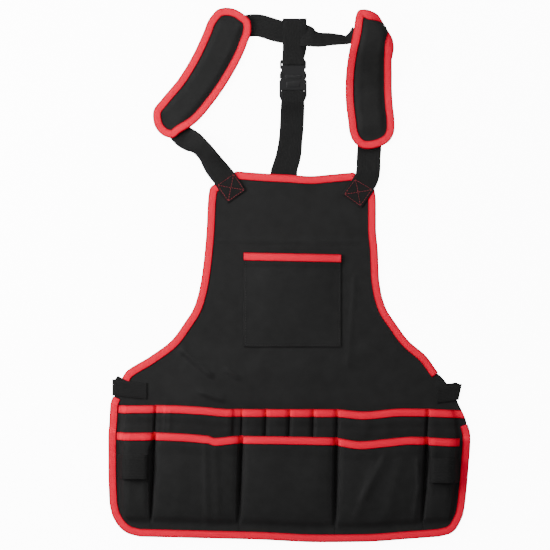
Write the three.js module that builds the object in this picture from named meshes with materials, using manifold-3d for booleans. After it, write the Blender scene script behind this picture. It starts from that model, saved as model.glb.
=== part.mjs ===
// A gardening apron laid flat on a table with its front up and its shoulder harness spread above the bib.
// Millimetres. +X runs across the apron to the right, +Y from the hem up to the shoulder pads, and +Z up from
// the table. The origin is on the table, under the middle of the whole length.
import * as THREE from "three";
import { mergeVertices } from "three/addons/utils/BufferGeometryUtils.js";
import Module from "manifold-3d";

// Cloth, tape and webbing
const CLOTH = 1.2;
const TAPE_WIDTH = 12;
const TAPE_THICK = 1;
const WEBBING_WIDTH = 36;
const WEBBING_THICK = 1.6;
const BELT_WIDTH = 26;
const LOOP_WIDTH = 39;
const SEAM_GAP = 0.4;
const TAPE_ROOM = 1.9; // under a pocket's mouth, for the tape's back leg at a seam

// The panel and its pockets
const APRON_HEIGHT = 590;
const SKIRT_WIDTH = 576;
const UPPER_PUFF = 7.5;
const LOWER_PUFF = 9;
const CHEST_POCKET_WIDTH = 155;
const CHEST_POCKET_DEPTH = 150;
const CHEST_PUFF = 6.5;
const LOOP_RISE = 7; // a hammer loop's arch over its pocket

// The harness
const PAD_LENGTH = 225;
const PAD_RISE = 37; // from the bib's top edge to the pads' feet, were they upright
const HARNESS_RISE = PAD_LENGTH + PAD_RISE; // from the bib's top edge to the top of the pads
const PAD_WIDTH = 70;
const PAD_THICK = 8;
const FLANGE_THICK = 3; // the pad's sewn edge

// Buckles
const BUCKLE_LENGTH = 65;
const BUCKLE_WIDTH = 44;
const BUCKLE_THICK = 8;
const BUCKLE_WALL = 1.4;
const BUCKLE_BAR = 6;
const BUCKLE_SLOT = 3;
const FIT = 0.3; // clearance between hard pieces, and of webbing round them
const WAIST_BUCKLE_THICK = 5;
const WAIST_BUCKLE_LENGTH = 42;

// Places that follow from the sizes above
const HALF = SKIRT_WIDTH / 2;
const BIB_TOP = APRON_HEIGHT - (APRON_HEIGHT + HARNESS_RISE) / 2;
const PAD_TOP = BIB_TOP + HARNESS_RISE;
const PANEL_UNDER = WEBBING_THICK + SEAM_GAP; // the panel lies on the webbing behind it
const EDGE_ROOM = TAPE_THICK + SEAM_GAP; // from a tape's fold to the cloth in it

// The panel's outline, tape included. down is a share of APRON_HEIGHT from the bib's top edge, and left and
// right are shares of half of SKIRT_WIDTH.
const OUTLINE = [
  { down: 0, left: 0.294, right: 0.356 },
  { down: 0.022, left: 0.367, right: 0.406 },
  { down: 0.046, left: 0.439, right: 0.469 },
  { down: 0.087, left: 0.45, right: 0.478 },
  { down: 0.152, left: 0.456, right: 0.478 },
  { down: 0.217, left: 0.467, right: 0.489 },
  { down: 0.282, left: 0.483, right: 0.494 },
  { down: 0.326, left: 0.5, right: 0.506 },
  { down: 0.369, left: 0.528, right: 0.533 },
  { down: 0.412, left: 0.583, right: 0.589 },
  { down: 0.456, left: 0.65, right: 0.656 },
  { down: 0.499, left: 0.767, right: 0.756 },
  { down: 0.543, left: 0.906, right: 0.822 },
  { down: 0.567, left: 0.933, right: 0.864 },
  { down: 0.597, left: 0.964, right: 0.906 },
  { down: 0.63, left: 0.989, right: 0.939 },
  { down: 0.673, left: 0.994, right: 0.978 },
  { down: 0.716, left: 1, right: 1 },
  { down: 0.803, left: 1, right: 0.989 },
  { down: 0.89, left: 0.994, right: 0.972 },
  { down: 0.923, left: 0.981, right: 0.961 },
  { down: 0.944, left: 0.961, right: 0.944 },
  { down: 0.963, left: 0.931, right: 0.922 },
  { down: 0.977, left: 0.889, right: 0.889 },
  { down: 0.985, left: 0.828, right: 0.828 },
];
const HEM_START = 0.985;
// How far the top edge dips and the hem sags between the corners, in shares of APRON_HEIGHT.
const TOP_DIP = [
  { across: 0, dip: 0 },
  { across: 0.25, dip: 0.006 },
  { across: 0.46, dip: 0.0095 },
  { across: 0.63, dip: 0.013 },
  { across: 0.8, dip: 0.0087 },
  { across: 1, dip: 0.003 },
];
const HEM_SAG = [
  { across: 0, sag: 0 },
  { across: 0.2, sag: 0.004 },
  { across: 0.4, sag: 0.008 },
  { across: 0.6, sag: 0.015 },
  { across: 0.75, sag: 0.014 },
  { across: 0.9, sag: 0.006 },
  { across: 1, sag: 0 },
];

// Tape lines along the pockets' mouths. across is a share of half of SKIRT_WIDTH from the middle.
const UPPER_MOUTH = [
  { across: -1, down: 0.632 },
  { across: -0.67, down: 0.631 },
  { across: -0.49, down: 0.635 },
  { across: -0.33, down: 0.641 },
  { across: 0.25, down: 0.642 },
  { across: 0.41, down: 0.648 },
  { across: 0.62, down: 0.64 },
  { across: 0.77, down: 0.641 },
  { across: 1, down: 0.647 },
];
const LOWER_MOUTH = [
  { across: -1, down: 0.704 },
  { across: -0.728, down: 0.704 },
  { across: -0.45, down: 0.712 },
  { across: -0.41, down: 0.718 },
  { across: -0.294, down: 0.713 },
  { across: 0.228, down: 0.717 },
  { across: 0.394, down: 0.727 },
  { across: 0.533, down: 0.721 },
  { across: 0.672, down: 0.715 },
  { across: 0.856, down: 0.719 },
  { across: 1, down: 0.722 },
];
// The four stitched seams that divide both rows of pockets, as shares of half of SKIRT_WIDTH.
const SEAMS = [
  { mouth: -0.741, hem: -0.772 },
  { mouth: -0.261, hem: -0.283 },
  { mouth: 0.262, hem: 0.25 },
  { mouth: 0.768, hem: 0.733 },
];

// A pocket from seam to seam: across is a share of its width, and lift is a share of its puff.
const SIDE_POCKET = [
  { across: 0, lift: 0 },
  { across: 0.22, lift: 0 },
  { across: 0.34, lift: 0.85 },
  { across: 0.5, lift: 1 },
  { across: 0.78, lift: 1 },
  { across: 0.9, lift: 0.8 },
  { across: 1, lift: 0 },
];
const PLEATED_POCKET = [
  { across: 0, lift: 0 },
  { across: 0.04, lift: 0.36 },
  { across: 0.1, lift: 0.45 },
  { across: 0.12, lift: 0.9 },
  { across: 0.2, lift: 1 },
  { across: 0.8, lift: 1 },
  { across: 0.88, lift: 0.9 },
  { across: 0.9, lift: 0.45 },
  { across: 0.96, lift: 0.36 },
  { across: 1, lift: 0 },
];
const PLAIN_POCKET = [
  { across: 0, lift: 0 },
  { across: 0.06, lift: 0.75 },
  { across: 0.14, lift: 1 },
  { across: 0.38, lift: 1 },
  { across: 0.62, lift: 1 },
  { across: 0.86, lift: 1 },
  { across: 0.94, lift: 0.75 },
  { across: 1, lift: 0 },
];
const TOOL_SLOTS = 4;
const SLOT = [
  { across: 0, lift: 0 },
  { across: 0.2, lift: 0.9 },
  { across: 0.8, lift: 0.9 },
  { across: 1, lift: 0 },
];
// Rows of the pockets. up is a share of the way from the hem (0) to the lower mouth (1), then on to the upper
// mouth (2). puff is a share of the row's puff, and room says how much of TAPE_ROOM the seams leave.
const LOWER_ROWS = [
  { up: 0, puff: 0, room: 0 },
  { up: 0.12, puff: 0, room: 0 },
  { up: 0.2, puff: 0.35, room: 0 },
  { up: 0.4, puff: 0.72, room: 0 },
  { up: 0.6, puff: 0.9, room: 0 },
  { up: 0.8, puff: 0.97, room: 0 },
  { up: 0.91, puff: 1, room: 1 },
  { up: 1, puff: 1, room: 1 },
];
const UPPER_ROWS = [
  { up: 0, puff: 0, room: 0 },
  { up: 0.12, puff: 0, room: 0 },
  { up: 0.2, puff: 0.35, room: 0 },
  { up: 0.4, puff: 0.65, room: 0 },
  { up: 0.6, puff: 0.82, room: 0 },
  { up: 0.8, puff: 0.9, room: 0 },
  { up: 0.91, puff: 0.92, room: 0 },
  { up: 1, puff: 0.93, room: 0 },
  { up: 1.35, puff: 0.97, room: 0 },
  { up: 1.66, puff: 1, room: 1 },
  { up: 2, puff: 1, room: 1 },
];
const CHEST_POCKET = [
  { across: 0, lift: 0 },
  { across: 0.07, lift: 0.75 },
  { across: 0.16, lift: 1 },
  { across: 0.5, lift: 1 },
  { across: 0.84, lift: 1 },
  { across: 0.93, lift: 0.75 },
  { across: 1, lift: 0 },
];
const CHEST_ROWS = [
  { up: 0, puff: 0, room: 0 },
  { up: 0.1, puff: 0.5, room: 0 },
  { up: 0.3, puff: 0.85, room: 0 },
  { up: 0.6, puff: 1, room: 0 },
  { up: 0.85, puff: 1, room: 0 },
  { up: 0.91, puff: 1, room: 1 },
  { up: 1, puff: 1, room: 1 },
];
const CHEST_AT = { across: 0.017, down: 0.2195, tilt: 0.02 };

// Soft folds of the panel between two points, across in half widths and down in heights.
const FOLDS = [
  { across: -0.61, down: 0.48, toAcross: -0.42, toDown: 0.558, width: 30, height: 2.2 },
  { across: -0.41, down: 0.187, toAcross: 0.39, toDown: 0.187, width: 26, height: 1.2 },
];

// The shoulder pads, row by row from the top. down and out are shares of PAD_LENGTH from the pad's top and
// outwards, width is a share of PAD_WIDTH, turn is the row's slant in degrees, lift is its height as a share
// of PAD_WIDTH, and fill says how full the padding is.
const LEFT_PAD_AT = -0.339;
const LEFT_PAD = [
  { down: 0.006, out: 0, width: 0.32, turn: 0, lift: 0, fill: 0 },
  { down: 0.028, out: -0.005, width: 0.6, turn: 3, lift: 0, fill: 0 },
  { down: 0.07, out: -0.016, width: 0.85, turn: 8, lift: 0, fill: 0 },
  { down: 0.124, out: -0.004, width: 0.98, turn: 12, lift: 0, fill: 0.7 },
  { down: 0.227, out: 0.034, width: 1, turn: 18, lift: 0, fill: 1 },
  { down: 0.423, out: 0.13, width: 0.97, turn: 27, lift: 0, fill: 1 },
  { down: 0.597, out: 0.245, width: 0.96, turn: 33, lift: 0, fill: 1 },
  { down: 0.738, out: 0.363, width: 0.95, turn: 38, lift: 0, fill: 0.9 },
  { down: 0.814, out: 0.435, width: 0.79, turn: 42, lift: 0, fill: 0 },
  { down: 0.857, out: 0.445, width: 0.63, turn: 41, lift: 0, fill: 0 },
  { down: 0.882, out: 0.458, width: 0.36, turn: 40, lift: 0, fill: 0 },
];
const RIGHT_PAD_AT = 0.411;
const RIGHT_PAD_LOWER = 4; // how much lower the right pad's top is than the left's
const RIGHT_PAD = [
  { down: 0.006, out: 0.016, width: 0.3, turn: 0, lift: 0.44, fill: 0 },
  { down: 0.02, out: 0.032, width: 0.48, turn: 0, lift: 0.44, fill: 0 },
  { down: 0.041, out: 0.05, width: 0.65, turn: 0, lift: 0.44, fill: 0 },
  { down: 0.07, out: 0.063, width: 0.79, turn: 0, lift: 0.44, fill: 0 },
  { down: 0.116, out: 0.074, width: 0.92, turn: 0, lift: 0.44, fill: 0 },
  { down: 0.16, out: 0.075, width: 0.98, turn: 0, lift: 0.44, fill: 1 },
  { down: 0.22, out: 0.068, width: 1, turn: 0, lift: 0.43, fill: 1 },
  { down: 0.295, out: 0.058, width: 1, turn: 0, lift: 0.38, fill: 1 },
  { down: 0.37, out: 0.048, width: 1, turn: 0, lift: 0.26, fill: 1 },
  { down: 0.46, out: 0.04, width: 1.01, turn: 0, lift: 0.13, fill: 1 },
  { down: 0.565, out: 0.037, width: 1.01, turn: 0, lift: 0.03, fill: 1 },
  { down: 0.679, out: 0.043, width: 1.01, turn: 0, lift: 0, fill: 1 },
  { down: 0.793, out: 0.057, width: 1.01, turn: 0, lift: 0, fill: 1 },
  { down: 0.862, out: 0.06, width: 0.97, turn: 0, lift: 0, fill: 0.5 },
  { down: 0.912, out: 0.055, width: 0.82, turn: 0, lift: 0, fill: 0 },
  { down: 0.966, out: 0.036, width: 0.38, turn: 0, lift: 0, fill: 0 },
];
// The right pad's outer corner rolls down past a slanting line, through a place given like the rows above.
const CORNER_ROLL = { down: 0.06, out: 0, slant: 30, radius: 40, angle: 54 };
// Across a pad: side is a share of its half width, and thick says where the padding is.
const PAD_COLUMNS = [
  { side: -1, thick: 0 },
  { side: -0.63, thick: 0 },
  { side: -0.42, thick: 0.85 },
  { side: 0, thick: 1 },
  { side: 0.42, thick: 0.85 },
  { side: 0.63, thick: 0 },
  { side: 1, thick: 0 },
];
const PAD_UNDER = WEBBING_THICK + SEAM_GAP; // the pads lie on the webbing that is sewn under them
const PAD_TAPE_GAP = 2 * SEAM_GAP;
const FLANGE_UNDER = PAD_UNDER + TAPE_THICK + PAD_TAPE_GAP;

// Free stretches of webbing. across is a share of half of SKIRT_WIDTH, rise a share of HARNESS_RISE over the
// bib's top edge, roll the tilt in degrees that lifts the edge on the strap's right, and lift the lower edge's
// height in millimetres.
const LEFT_STRAP = [
  { across: -0.289, rise: -0.153, roll: 0, lift: 3.6 },
  { across: -0.325, rise: -0.096, roll: 0, lift: 5 },
  { across: -0.36, rise: -0.039, roll: 2, lift: 5 },
  { across: -0.404, rise: 0.024, roll: 24, lift: 2.6 },
  { across: -0.433, rise: 0.066, roll: 38, lift: 1 },
  { across: -0.456, rise: 0.107, roll: 45, lift: 0.6 },
  { across: -0.486, rise: 0.147, roll: 44, lift: 0.6 },
  { across: -0.519, rise: 0.176, roll: 32, lift: 0.4 },
  { across: -0.548, rise: 0.196, roll: 14, lift: 0.2 },
  { across: -0.572, rise: 0.214, roll: 0, lift: 0 },
  { across: -0.61, rise: 0.25, roll: 0, lift: 0 },
  { across: -0.672, rise: 0.305, roll: 0, lift: 0 },
];
const RIGHT_STRAP = [
  { across: 0.344, rise: -0.18, roll: 0, lift: 3.6 },
  { across: 0.378, rise: -0.128, roll: 0, lift: 5 },
  { across: 0.412, rise: -0.076, roll: 0, lift: 5 },
  { across: 0.434, rise: -0.03, roll: 0, lift: 5 },
  { across: 0.441, rise: 0.012, roll: 5, lift: 3 },
  { across: 0.443, rise: 0.08, roll: 4, lift: 0.8 },
  { across: 0.447, rise: 0.14, roll: 0, lift: 0 },
  { across: 0.45, rise: 0.25, roll: 0, lift: 0 },
  { across: 0.45, rise: 0.42, roll: 0, lift: 0 },
];
const NECK_STRAP = [
  { across: -0.361, rise: 0.788, roll: 0, lift: 0 },
  { across: -0.317, rise: 0.843, roll: 0, lift: 0 },
  { across: -0.283, rise: 0.867, roll: 0, lift: 0 },
  { across: -0.228, rise: 0.892, roll: 0, lift: 0 },
  { across: -0.169, rise: 0.893, roll: 0, lift: 0.4 },
  { across: -0.122, rise: 0.879, roll: 0, lift: 1.2 },
  { across: -0.072, rise: 0.861, roll: 0, lift: 2 },
  { across: 0.028, rise: 0.847, roll: 0, lift: 2 },
  { across: 0.094, rise: 0.837, roll: 0, lift: 2 },
  { across: 0.128, rise: 0.826, roll: 34, lift: 1.2 },
  { across: 0.154, rise: 0.818, roll: 54, lift: 0.4 },
  { across: 0.228, rise: 0.811, roll: 61, lift: 0.4 },
  { across: 0.283, rise: 0.807, roll: 66, lift: 0.4 },
  { across: 0.314, rise: 0.806, roll: 62, lift: 0.6 },
  { across: 0.343, rise: 0.824, roll: 36, lift: 3 },
  { across: 0.378, rise: 0.846, roll: 16, lift: 10 },
];
// The strap that drops from the neck strap, by its rise as above.
const BACK_STRAP = [
  { rise: -1.3, across: -0.033 },
  { rise: 0, across: -0.033 },
  { rise: 0.04, across: -0.025 },
  { rise: 0.11, across: -0.008 },
  { rise: 0.18, across: 0.003 },
  { rise: 0.26, across: 0.011 },
  { rise: 0.4, across: 0.017 },
  { rise: 0.92, across: 0.028 },
];
const BACK_LOOP_TOP = 0.933;
const BUCKLE_FOOT = 0.4305;
const NECK_CROSS = 0.848;

// The waist belt's halves: where each folds round the panel, and where its sewn front end stops. across and
// down are shares as for the outline. The hidden buckle is between their ends behind the panel.
const BELT_LEFT = { fold: -0.981, foldDown: 0.583, end: -0.789, endDown: 0.5925 };
const BELT_RIGHT = { fold: 0.955, foldDown: 0.595, end: 0.817, endDown: 0.6034 };
const WAIST_BUCKLE_AT = -0.4;

const wasm = await Module();
wasm.setup();

const radians = THREE.MathUtils.degToRad;
const up = new THREE.Vector3(0, 0, 1);
const vec = (x, y, z) => new THREE.Vector3(x, y, z);
const smooth = (t) => THREE.MathUtils.smoothstep(t, 0, 1);

// The value of a table's column at a place along its key column, straight between rows.
function lookUp(table, key, place, column) {
  const last = table.length - 1;
  let i = 1;
  while (i < last && table[i][key] < place) i += 1;
  const [a, b] = [table[i - 1], table[i]];
  const t = THREE.MathUtils.clamp((place - a[key]) / (b[key] - a[key]), 0, 1);
  return THREE.MathUtils.lerp(a[column], b[column], t);
}

// A mesh's geometry from points and triangles, turned to face out.
function closed(points, faces) {
  let volume = 0;
  for (const [a, b, c] of faces) volume += points[a].dot(vec(0, 0, 0).crossVectors(points[b], points[c]));
  const order = volume < 0 ? faces.map(([a, b, c]) => [a, c, b]) : faces;
  const geometry = new THREE.BufferGeometry().setFromPoints(points);
  geometry.setIndex(order.flat());
  return geometry;
}

// A sheet or pad between two grids of points, [row][column], with its rim closed.
function slab(upper, lower) {
  const rows = upper.length;
  const columns = upper[0].length;
  const under = rows * columns;
  const at = (i, j) => i * columns + j;
  const faces = [];
  for (let i = 0; i < rows - 1; i += 1)
    for (let j = 0; j < columns - 1; j += 1) {
      const [a, b, c, d] = [at(i, j), at(i, j + 1), at(i + 1, j + 1), at(i + 1, j)];
      faces.push([a, d, c], [a, c, b], [a + under, c + under, d + under], [a + under, b + under, c + under]);
    }
  const rim = gridRim(rows, columns).map(([i, j]) => at(i, j));
  rim.forEach((p, k) => {
    const q = rim[(k + 1) % rim.length];
    faces.push([p, p + under, q + under], [p, q + under, q]);
  });
  return closed([...upper.flat(), ...lower.flat()], faces);
}

// The places round a grid's rim, down its left side, along its foot and back.
function gridRim(rows, columns) {
  const rim = [];
  for (let i = 0; i < rows - 1; i += 1) rim.push([i, 0]);
  for (let j = 0; j < columns - 1; j += 1) rim.push([rows - 1, j]);
  for (let i = rows - 1; i > 0; i -= 1) rim.push([i, columns - 1]);
  for (let j = columns - 1; j > 0; j -= 1) rim.push([0, j]);
  return rim;
}

// A section carried through stations. Each station is a list of points, and cap lists its end's triangles. A
// flat section's two faces are split along the same diagonals, so that they stay apart where a strap twists.
function sweep(stations, cap, loop = false) {
  const size = stations[0].length;
  const faces = [];
  const spans = loop ? stations.length : stations.length - 1;
  for (let i = 0; i < spans; i += 1) {
    const next = (i + 1) % stations.length;
    for (let k = 0; k < size; k += 1) {
      const l = (k + 1) % size;
      const [a, b, c, d] = [i * size + k, i * size + l, next * size + l, next * size + k];
      if (size === 4 && k > 1) faces.push([a, b, d], [b, c, d]);
      else faces.push([a, b, c], [a, c, d]);
    }
  }
  if (!loop) {
    const end = (stations.length - 1) * size;
    for (const [a, b, c] of cap) faces.push([a, c, b], [end + a, end + b, end + c]);
  }
  return closed(stations.flat(), faces);
}

// Webbing along stations of { at, side, face }: at is its middle, side points to its edge, face out of it.
const FLAT_CAP = [[0, 1, 2], [0, 2, 3]];
function ribbon(stations, width, thick, loop = false) {
  const n = stations.length;
  const leg = (s, i, j) => {
    const [from, to] = loop ? [(i + n) % n, j % n] : [Math.max(i, 0), Math.min(j, n - 1)];
    return stations[to].at.clone().sub(stations[from].at).projectOnPlane(s.side).normalize();
  };
  const depth = stations.map((s, k) => {
    const ends = !loop && (k === 0 || k === n - 1);
    const bend = ends ? 1 : Math.sqrt((1 + leg(s, k - 1, k).dot(leg(s, k, k + 1))) / 2);
    return s.rolled ? thick : thick / Math.max(bend, 0.7);
  });
  const corner = (s, k, h) => {
    const d = depth[stations.indexOf(s)];
    return s.at.clone().addScaledVector(s.side, (k * width) / 2).addScaledVector(s.face, (h * d) / 2);
  };
  return sweep(
    stations.map((s) => [corner(s, -1, -1), corner(s, 1, -1), corner(s, 1, 1), corner(s, -1, 1)]),
    FLAT_CAP,
    loop,
  );
}

// Binding tape folded round an edge, along stations of { fold, inward, face, above, below, width, stretch }.
// above and below are the depths of the cloth's two faces under the legs, seen from the fold.
const TAPE_CAP = [[0, 1, 2], [0, 2, 7], [2, 3, 6], [2, 6, 7], [3, 4, 5], [3, 5, 6]];
function tape(stations, loop = false) {
  const sections = stations.map((s) => {
    const width = s.width ?? TAPE_WIDTH;
    const top = s.above + SEAM_GAP;
    const foot = -s.below - SEAM_GAP;
    const stretch = s.stretch ?? 1;
    const spot = (d, h) => s.fold.clone().addScaledVector(s.inward, d * stretch).addScaledVector(s.face, h);
    return [
      spot(width, top),
      spot(width, top + TAPE_THICK),
      spot(0, top + TAPE_THICK),
      spot(0, foot - TAPE_THICK),
      spot(width, foot - TAPE_THICK),
      spot(width, foot),
      spot(TAPE_THICK, foot),
      spot(TAPE_THICK, top),
    ];
  });
  return sweep(sections, TAPE_CAP, loop);
}

// The direction at each point of a line, halfway between its two legs, and how much the bend there stretches
// a distance that is kept from the line.
function bends(points, loop = false) {
  const n = points.length;
  return points.map((p, k) => {
    const before = loop || k > 0 ? points[(k + n - 1) % n] : null;
    const after = loop || k < n - 1 ? points[(k + 1) % n] : null;
    const inLeg = (before ? p.clone().sub(before) : after.clone().sub(p)).normalize();
    const outLeg = (after ? after.clone().sub(p) : p.clone().sub(before)).normalize();
    const way = inLeg.clone().add(outLeg).normalize();
    return { way, stretch: 1 / Math.max(way.dot(inLeg), 0.5) };
  });
}

// Height of the panel's underside over the table: it lies on the webbing, and rises over what is thicker.
function bump(x, y, place) {
  const dx = Math.max(0, Math.abs(x - place.x) - place.halfX);
  const dy = Math.max(0, Math.abs(y - place.y) - place.halfY);
  return place.height * (1 - smooth(Math.hypot(dx, dy) / place.fall));
}
const beltY = (x) => {
  const t = (x / HALF - BELT_LEFT.fold) / (BELT_RIGHT.fold - BELT_LEFT.fold);
  return BIB_TOP - APRON_HEIGHT * THREE.MathUtils.lerp(BELT_LEFT.foldDown, BELT_RIGHT.foldDown, t);
};
const backX = (y) => HALF * lookUp(BACK_STRAP, "rise", (y - BIB_TOP) / HARNESS_RISE, "across");
const crossX = BACK_STRAP[0].across * HALF;
const buckleX = WAIST_BUCKLE_AT * HALF;
const BUMPS = [
  {
    x: crossX, y: beltY(crossX), halfX: WEBBING_WIDTH / 2, halfY: BELT_WIDTH / 2 + 2, fall: 60,
    height: WEBBING_THICK + SEAM_GAP,
  },
  {
    x: backX(BIB_TOP), y: BIB_TOP, halfX: WEBBING_WIDTH / 2 + 3, halfY: TAPE_WIDTH + 4, fall: 42,
    height: TAPE_THICK + SEAM_GAP + 0.1,
  },
  {
    x: buckleX, y: beltY(buckleX), halfX: WAIST_BUCKLE_LENGTH / 2, halfY: BELT_WIDTH / 2, fall: 70,
    height: WAIST_BUCKLE_THICK - WEBBING_THICK,
  },
];
function rise(x, y) {
  let z = PANEL_UNDER;
  for (const b of BUMPS) z += bump(x, y, b);
  for (const f of FOLDS) {
    const a = vec(f.across * HALF, BIB_TOP - f.down * APRON_HEIGHT, 0);
    const b = vec(f.toAcross * HALF, BIB_TOP - f.toDown * APRON_HEIGHT, 0);
    const near = new THREE.Line3(a, b).closestPointToPoint(vec(x, y, 0), true, vec(0, 0, 0));
    z += f.height * (1 - smooth(near.distanceTo(vec(x, y, 0)) / f.width));
  }
  return z;
}
const panelTop = (x, y) => rise(x, y) + CLOTH;

// The panel's outline in rows of columns, the folds of its tapes included.
const PANEL_COLUMNS = 20;
function outlinePoint(row, across) {
  const fromTop = 1 - smooth(row.down / 0.1);
  const nearHem = smooth((row.down - 0.8) / (HEM_START - 0.8));
  const down =
    row.down + lookUp(TOP_DIP, "across", across, "dip") * fromTop +
    lookUp(HEM_SAG, "across", across, "sag") * nearHem;
  return vec(HALF * THREE.MathUtils.lerp(-row.left, row.right, across), BIB_TOP - APRON_HEIGHT * down, 0);
}
const shares = Array.from({ length: PANEL_COLUMNS + 1 }, (_, j) => j / PANEL_COLUMNS);
const outer = OUTLINE.map((row) => shares.map((across) => outlinePoint(row, across)));
const rimPlaces = gridRim(outer.length, outer[0].length);
const rimPoints = rimPlaces.map(([i, j]) => outer[i][j]);
const rimBends = bends(rimPoints, true);

// The panel's cloth stops short of its tapes' folds by the same distance all round.
const inner = outer.map((line) => line.map((p) => p.clone()));
rimPlaces.forEach(([i, j], k) => {
  const inward = vec(0, 0, 0).crossVectors(up, rimBends[k].way);
  inner[i][j].addScaledVector(inward, EDGE_ROOM * rimBends[k].stretch);
});
const leftInside = (y) => -lookUp(inner.map((line) => ({ low: -line[0].y, x: -line[0].x })), "low", -y, "x");
const rightInside = (y) => lookUp(inner.map((line) => ({ low: -line.at(-1).y, x: line.at(-1).x })), "low", -y, "x");
const hemInside = (x) => lookUp(inner.at(-1), "x", x, "y");
const rowsAt = (side) => OUTLINE.map((row, i) => ({ down: row.down, x: outer[i].at(side).x, y: outer[i].at(side).y }));

function bodyPanel() {
  return slab(
    inner.map((line) => line.map((p) => vec(p.x, p.y, panelTop(p.x, p.y)))),
    inner.map((line) => line.map((p) => vec(p.x, p.y, rise(p.x, p.y)))),
  );
}

// Stations of a tape round an edge of the panel, through points on its outline in order. stack gives the
// depth of sewn cloth at a point, from the panel's underside.
function edgeStations(points, stack) {
  const bend = bends(points);
  return points.map((p, k) => {
    const inward = vec(0, 0, 0).crossVectors(up, bend[k].way).normalize();
    const z = rise(p.x, p.y);
    const under = [0.12, 0.5, 1].map((d) => rise(p.x + inward.x * d * TAPE_WIDTH, p.y + inward.y * d * TAPE_WIDTH));
    const above = stack(p) + Math.max(0, Math.max(...under) - z);
    const below = Math.max(0, z - Math.min(...under));
    return { fold: vec(p.x, p.y, z), inward, face: up, above, below, stretch: bend[k].stretch };
  });
}

// Points of the outline's side from one height to another, with its own corners between.
function sidePoints(side, fromDown, toDown) {
  const rows = rowsAt(side);
  const at = (down) => vec(lookUp(rows, "down", down, "x"), lookUp(rows, "down", down, "y"), 0);
  return [
    at(fromDown),
    ...rows.filter((r) => r.down > fromDown + 0.004 && r.down < toDown - 0.004).map((r) => at(r.down)),
    at(toDown),
  ];
}

// The bib's tape stops just above the waist belt on both sides.
const BIB_TAPE_LEFT = 0.5585;
const BIB_TAPE_RIGHT = 0.543;
function bibBinding() {
  const left = sidePoints(0, 0, BIB_TAPE_LEFT);
  const right = sidePoints(-1, 0, BIB_TAPE_RIGHT);
  const points = [...right.reverse(), ...outer[0].slice(1, -1).reverse(), ...left];
  const stations = edgeStations(points, () => CLOTH);
  const cut = stations.at(-1); // along the belt instead of square to the edge
  cut.stretch = 1 / cut.inward.x;
  cut.inward = vec(1, 0, 0);
  return tape(stations);
}

// The pockets' shared lattice. A place in a pocket is its cell, its share across and its row's up.
const mouthY = (table, x) => BIB_TOP - APRON_HEIGHT * lookUp(table, "across", x / HALF, "down") - EDGE_ROOM;
const SEAM_TOP = BIB_TOP - APRON_HEIGHT * 0.64;
const SEAM_FOOT = BIB_TOP - APRON_HEIGHT * 0.99;
const seamX = (seam, y) =>
  HALF * THREE.MathUtils.mapLinear(y, SEAM_TOP, SEAM_FOOT, seam.mouth, seam.hem);

function latticePoint(cell, across, upShare) {
  const from = (y) => (cell > 0 ? seamX(SEAMS[cell - 1], y) + SEAM_GAP / 2 : leftInside(y));
  const to = (y) => (cell < SEAMS.length ? seamX(SEAMS[cell], y) - SEAM_GAP / 2 : rightInside(y));
  let x = THREE.MathUtils.lerp(from(SEAM_TOP), to(SEAM_TOP), across);
  let y = SEAM_TOP;
  for (let pass = 0; pass < 6; pass += 1) {
    const [hem, lower, upper] = [hemInside(x), mouthY(LOWER_MOUTH, x), mouthY(UPPER_MOUTH, x)];
    y = upShare <= 1 ? THREE.MathUtils.lerp(hem, lower, upShare) : THREE.MathUtils.lerp(lower, upper, upShare - 1);
    x = THREE.MathUtils.lerp(from(y), to(y), across);
  }
  return { x, y };
}

// How high a row of pockets lies at a seam, over the panel.
const seamRoom = (row) => THREE.MathUtils.lerp(SEAM_GAP, TAPE_ROOM, row.room);
const rowAt = (table, upShare) => ({
  up: upShare,
  puff: lookUp(table, "up", upShare, "puff"),
  room: lookUp(table, "up", upShare, "room"),
});
function upperUnder(spot, lift, upShare) {
  const row = rowAt(UPPER_ROWS, upShare);
  return panelTop(spot.x, spot.y) + seamRoom(row) + lift * row.puff * UPPER_PUFF;
}
function lowerUnder(spot, lift, upShare) {
  const back = rowAt(UPPER_ROWS, upShare);
  const row = rowAt(LOWER_ROWS, upShare);
  const puffs = back.puff * UPPER_PUFF + row.puff * LOWER_PUFF;
  return panelTop(spot.x, spot.y) + seamRoom(back) + CLOTH + seamRoom(row) + lift * puffs;
}

const slotColumns = () => {
  const columns = [];
  for (let k = 0; k < TOOL_SLOTS; k += 1)
    for (const c of SLOT.slice(k ? 1 : 0)) columns.push({ across: (k + c.across) / TOOL_SLOTS, lift: c.lift });
  return columns;
};
const UPPER_CELLS = [
  { name: "upper_pocket_left_side", columns: SIDE_POCKET },
  { name: "upper_pocket_left", columns: PLEATED_POCKET },
  { name: "tool_slots", columns: slotColumns() },
  { name: "upper_pocket_right", columns: PLEATED_POCKET },
  { name: "upper_pocket_right_side", columns: mirrored(SIDE_POCKET) },
];
const LOWER_CELLS = [
  { name: "lower_pocket_left_side", columns: SIDE_POCKET },
  { name: "lower_pocket_left", columns: PLEATED_POCKET },
  { name: "lower_pocket_middle", columns: PLAIN_POCKET },
  { name: "lower_pocket_right", columns: PLEATED_POCKET },
  { name: "lower_pocket_right_side", columns: mirrored(SIDE_POCKET) },
];
function mirrored(columns) {
  return columns.map((c) => ({ across: 1 - c.across, lift: c.lift })).reverse();
}

// One pocket's cloth, from its mouth down to the hem.
function pocketPanel(cell, columns, rows, under) {
  const lower = [...rows].reverse().map((row) =>
    columns.map((c) => {
      const spot = latticePoint(cell, c.across, row.up);
      return vec(spot.x, spot.y, under(spot, c.lift, row.up));
    }),
  );
  return slab(lower.map((line) => line.map((p) => vec(p.x, p.y, p.z + CLOTH))), lower);
}

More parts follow.
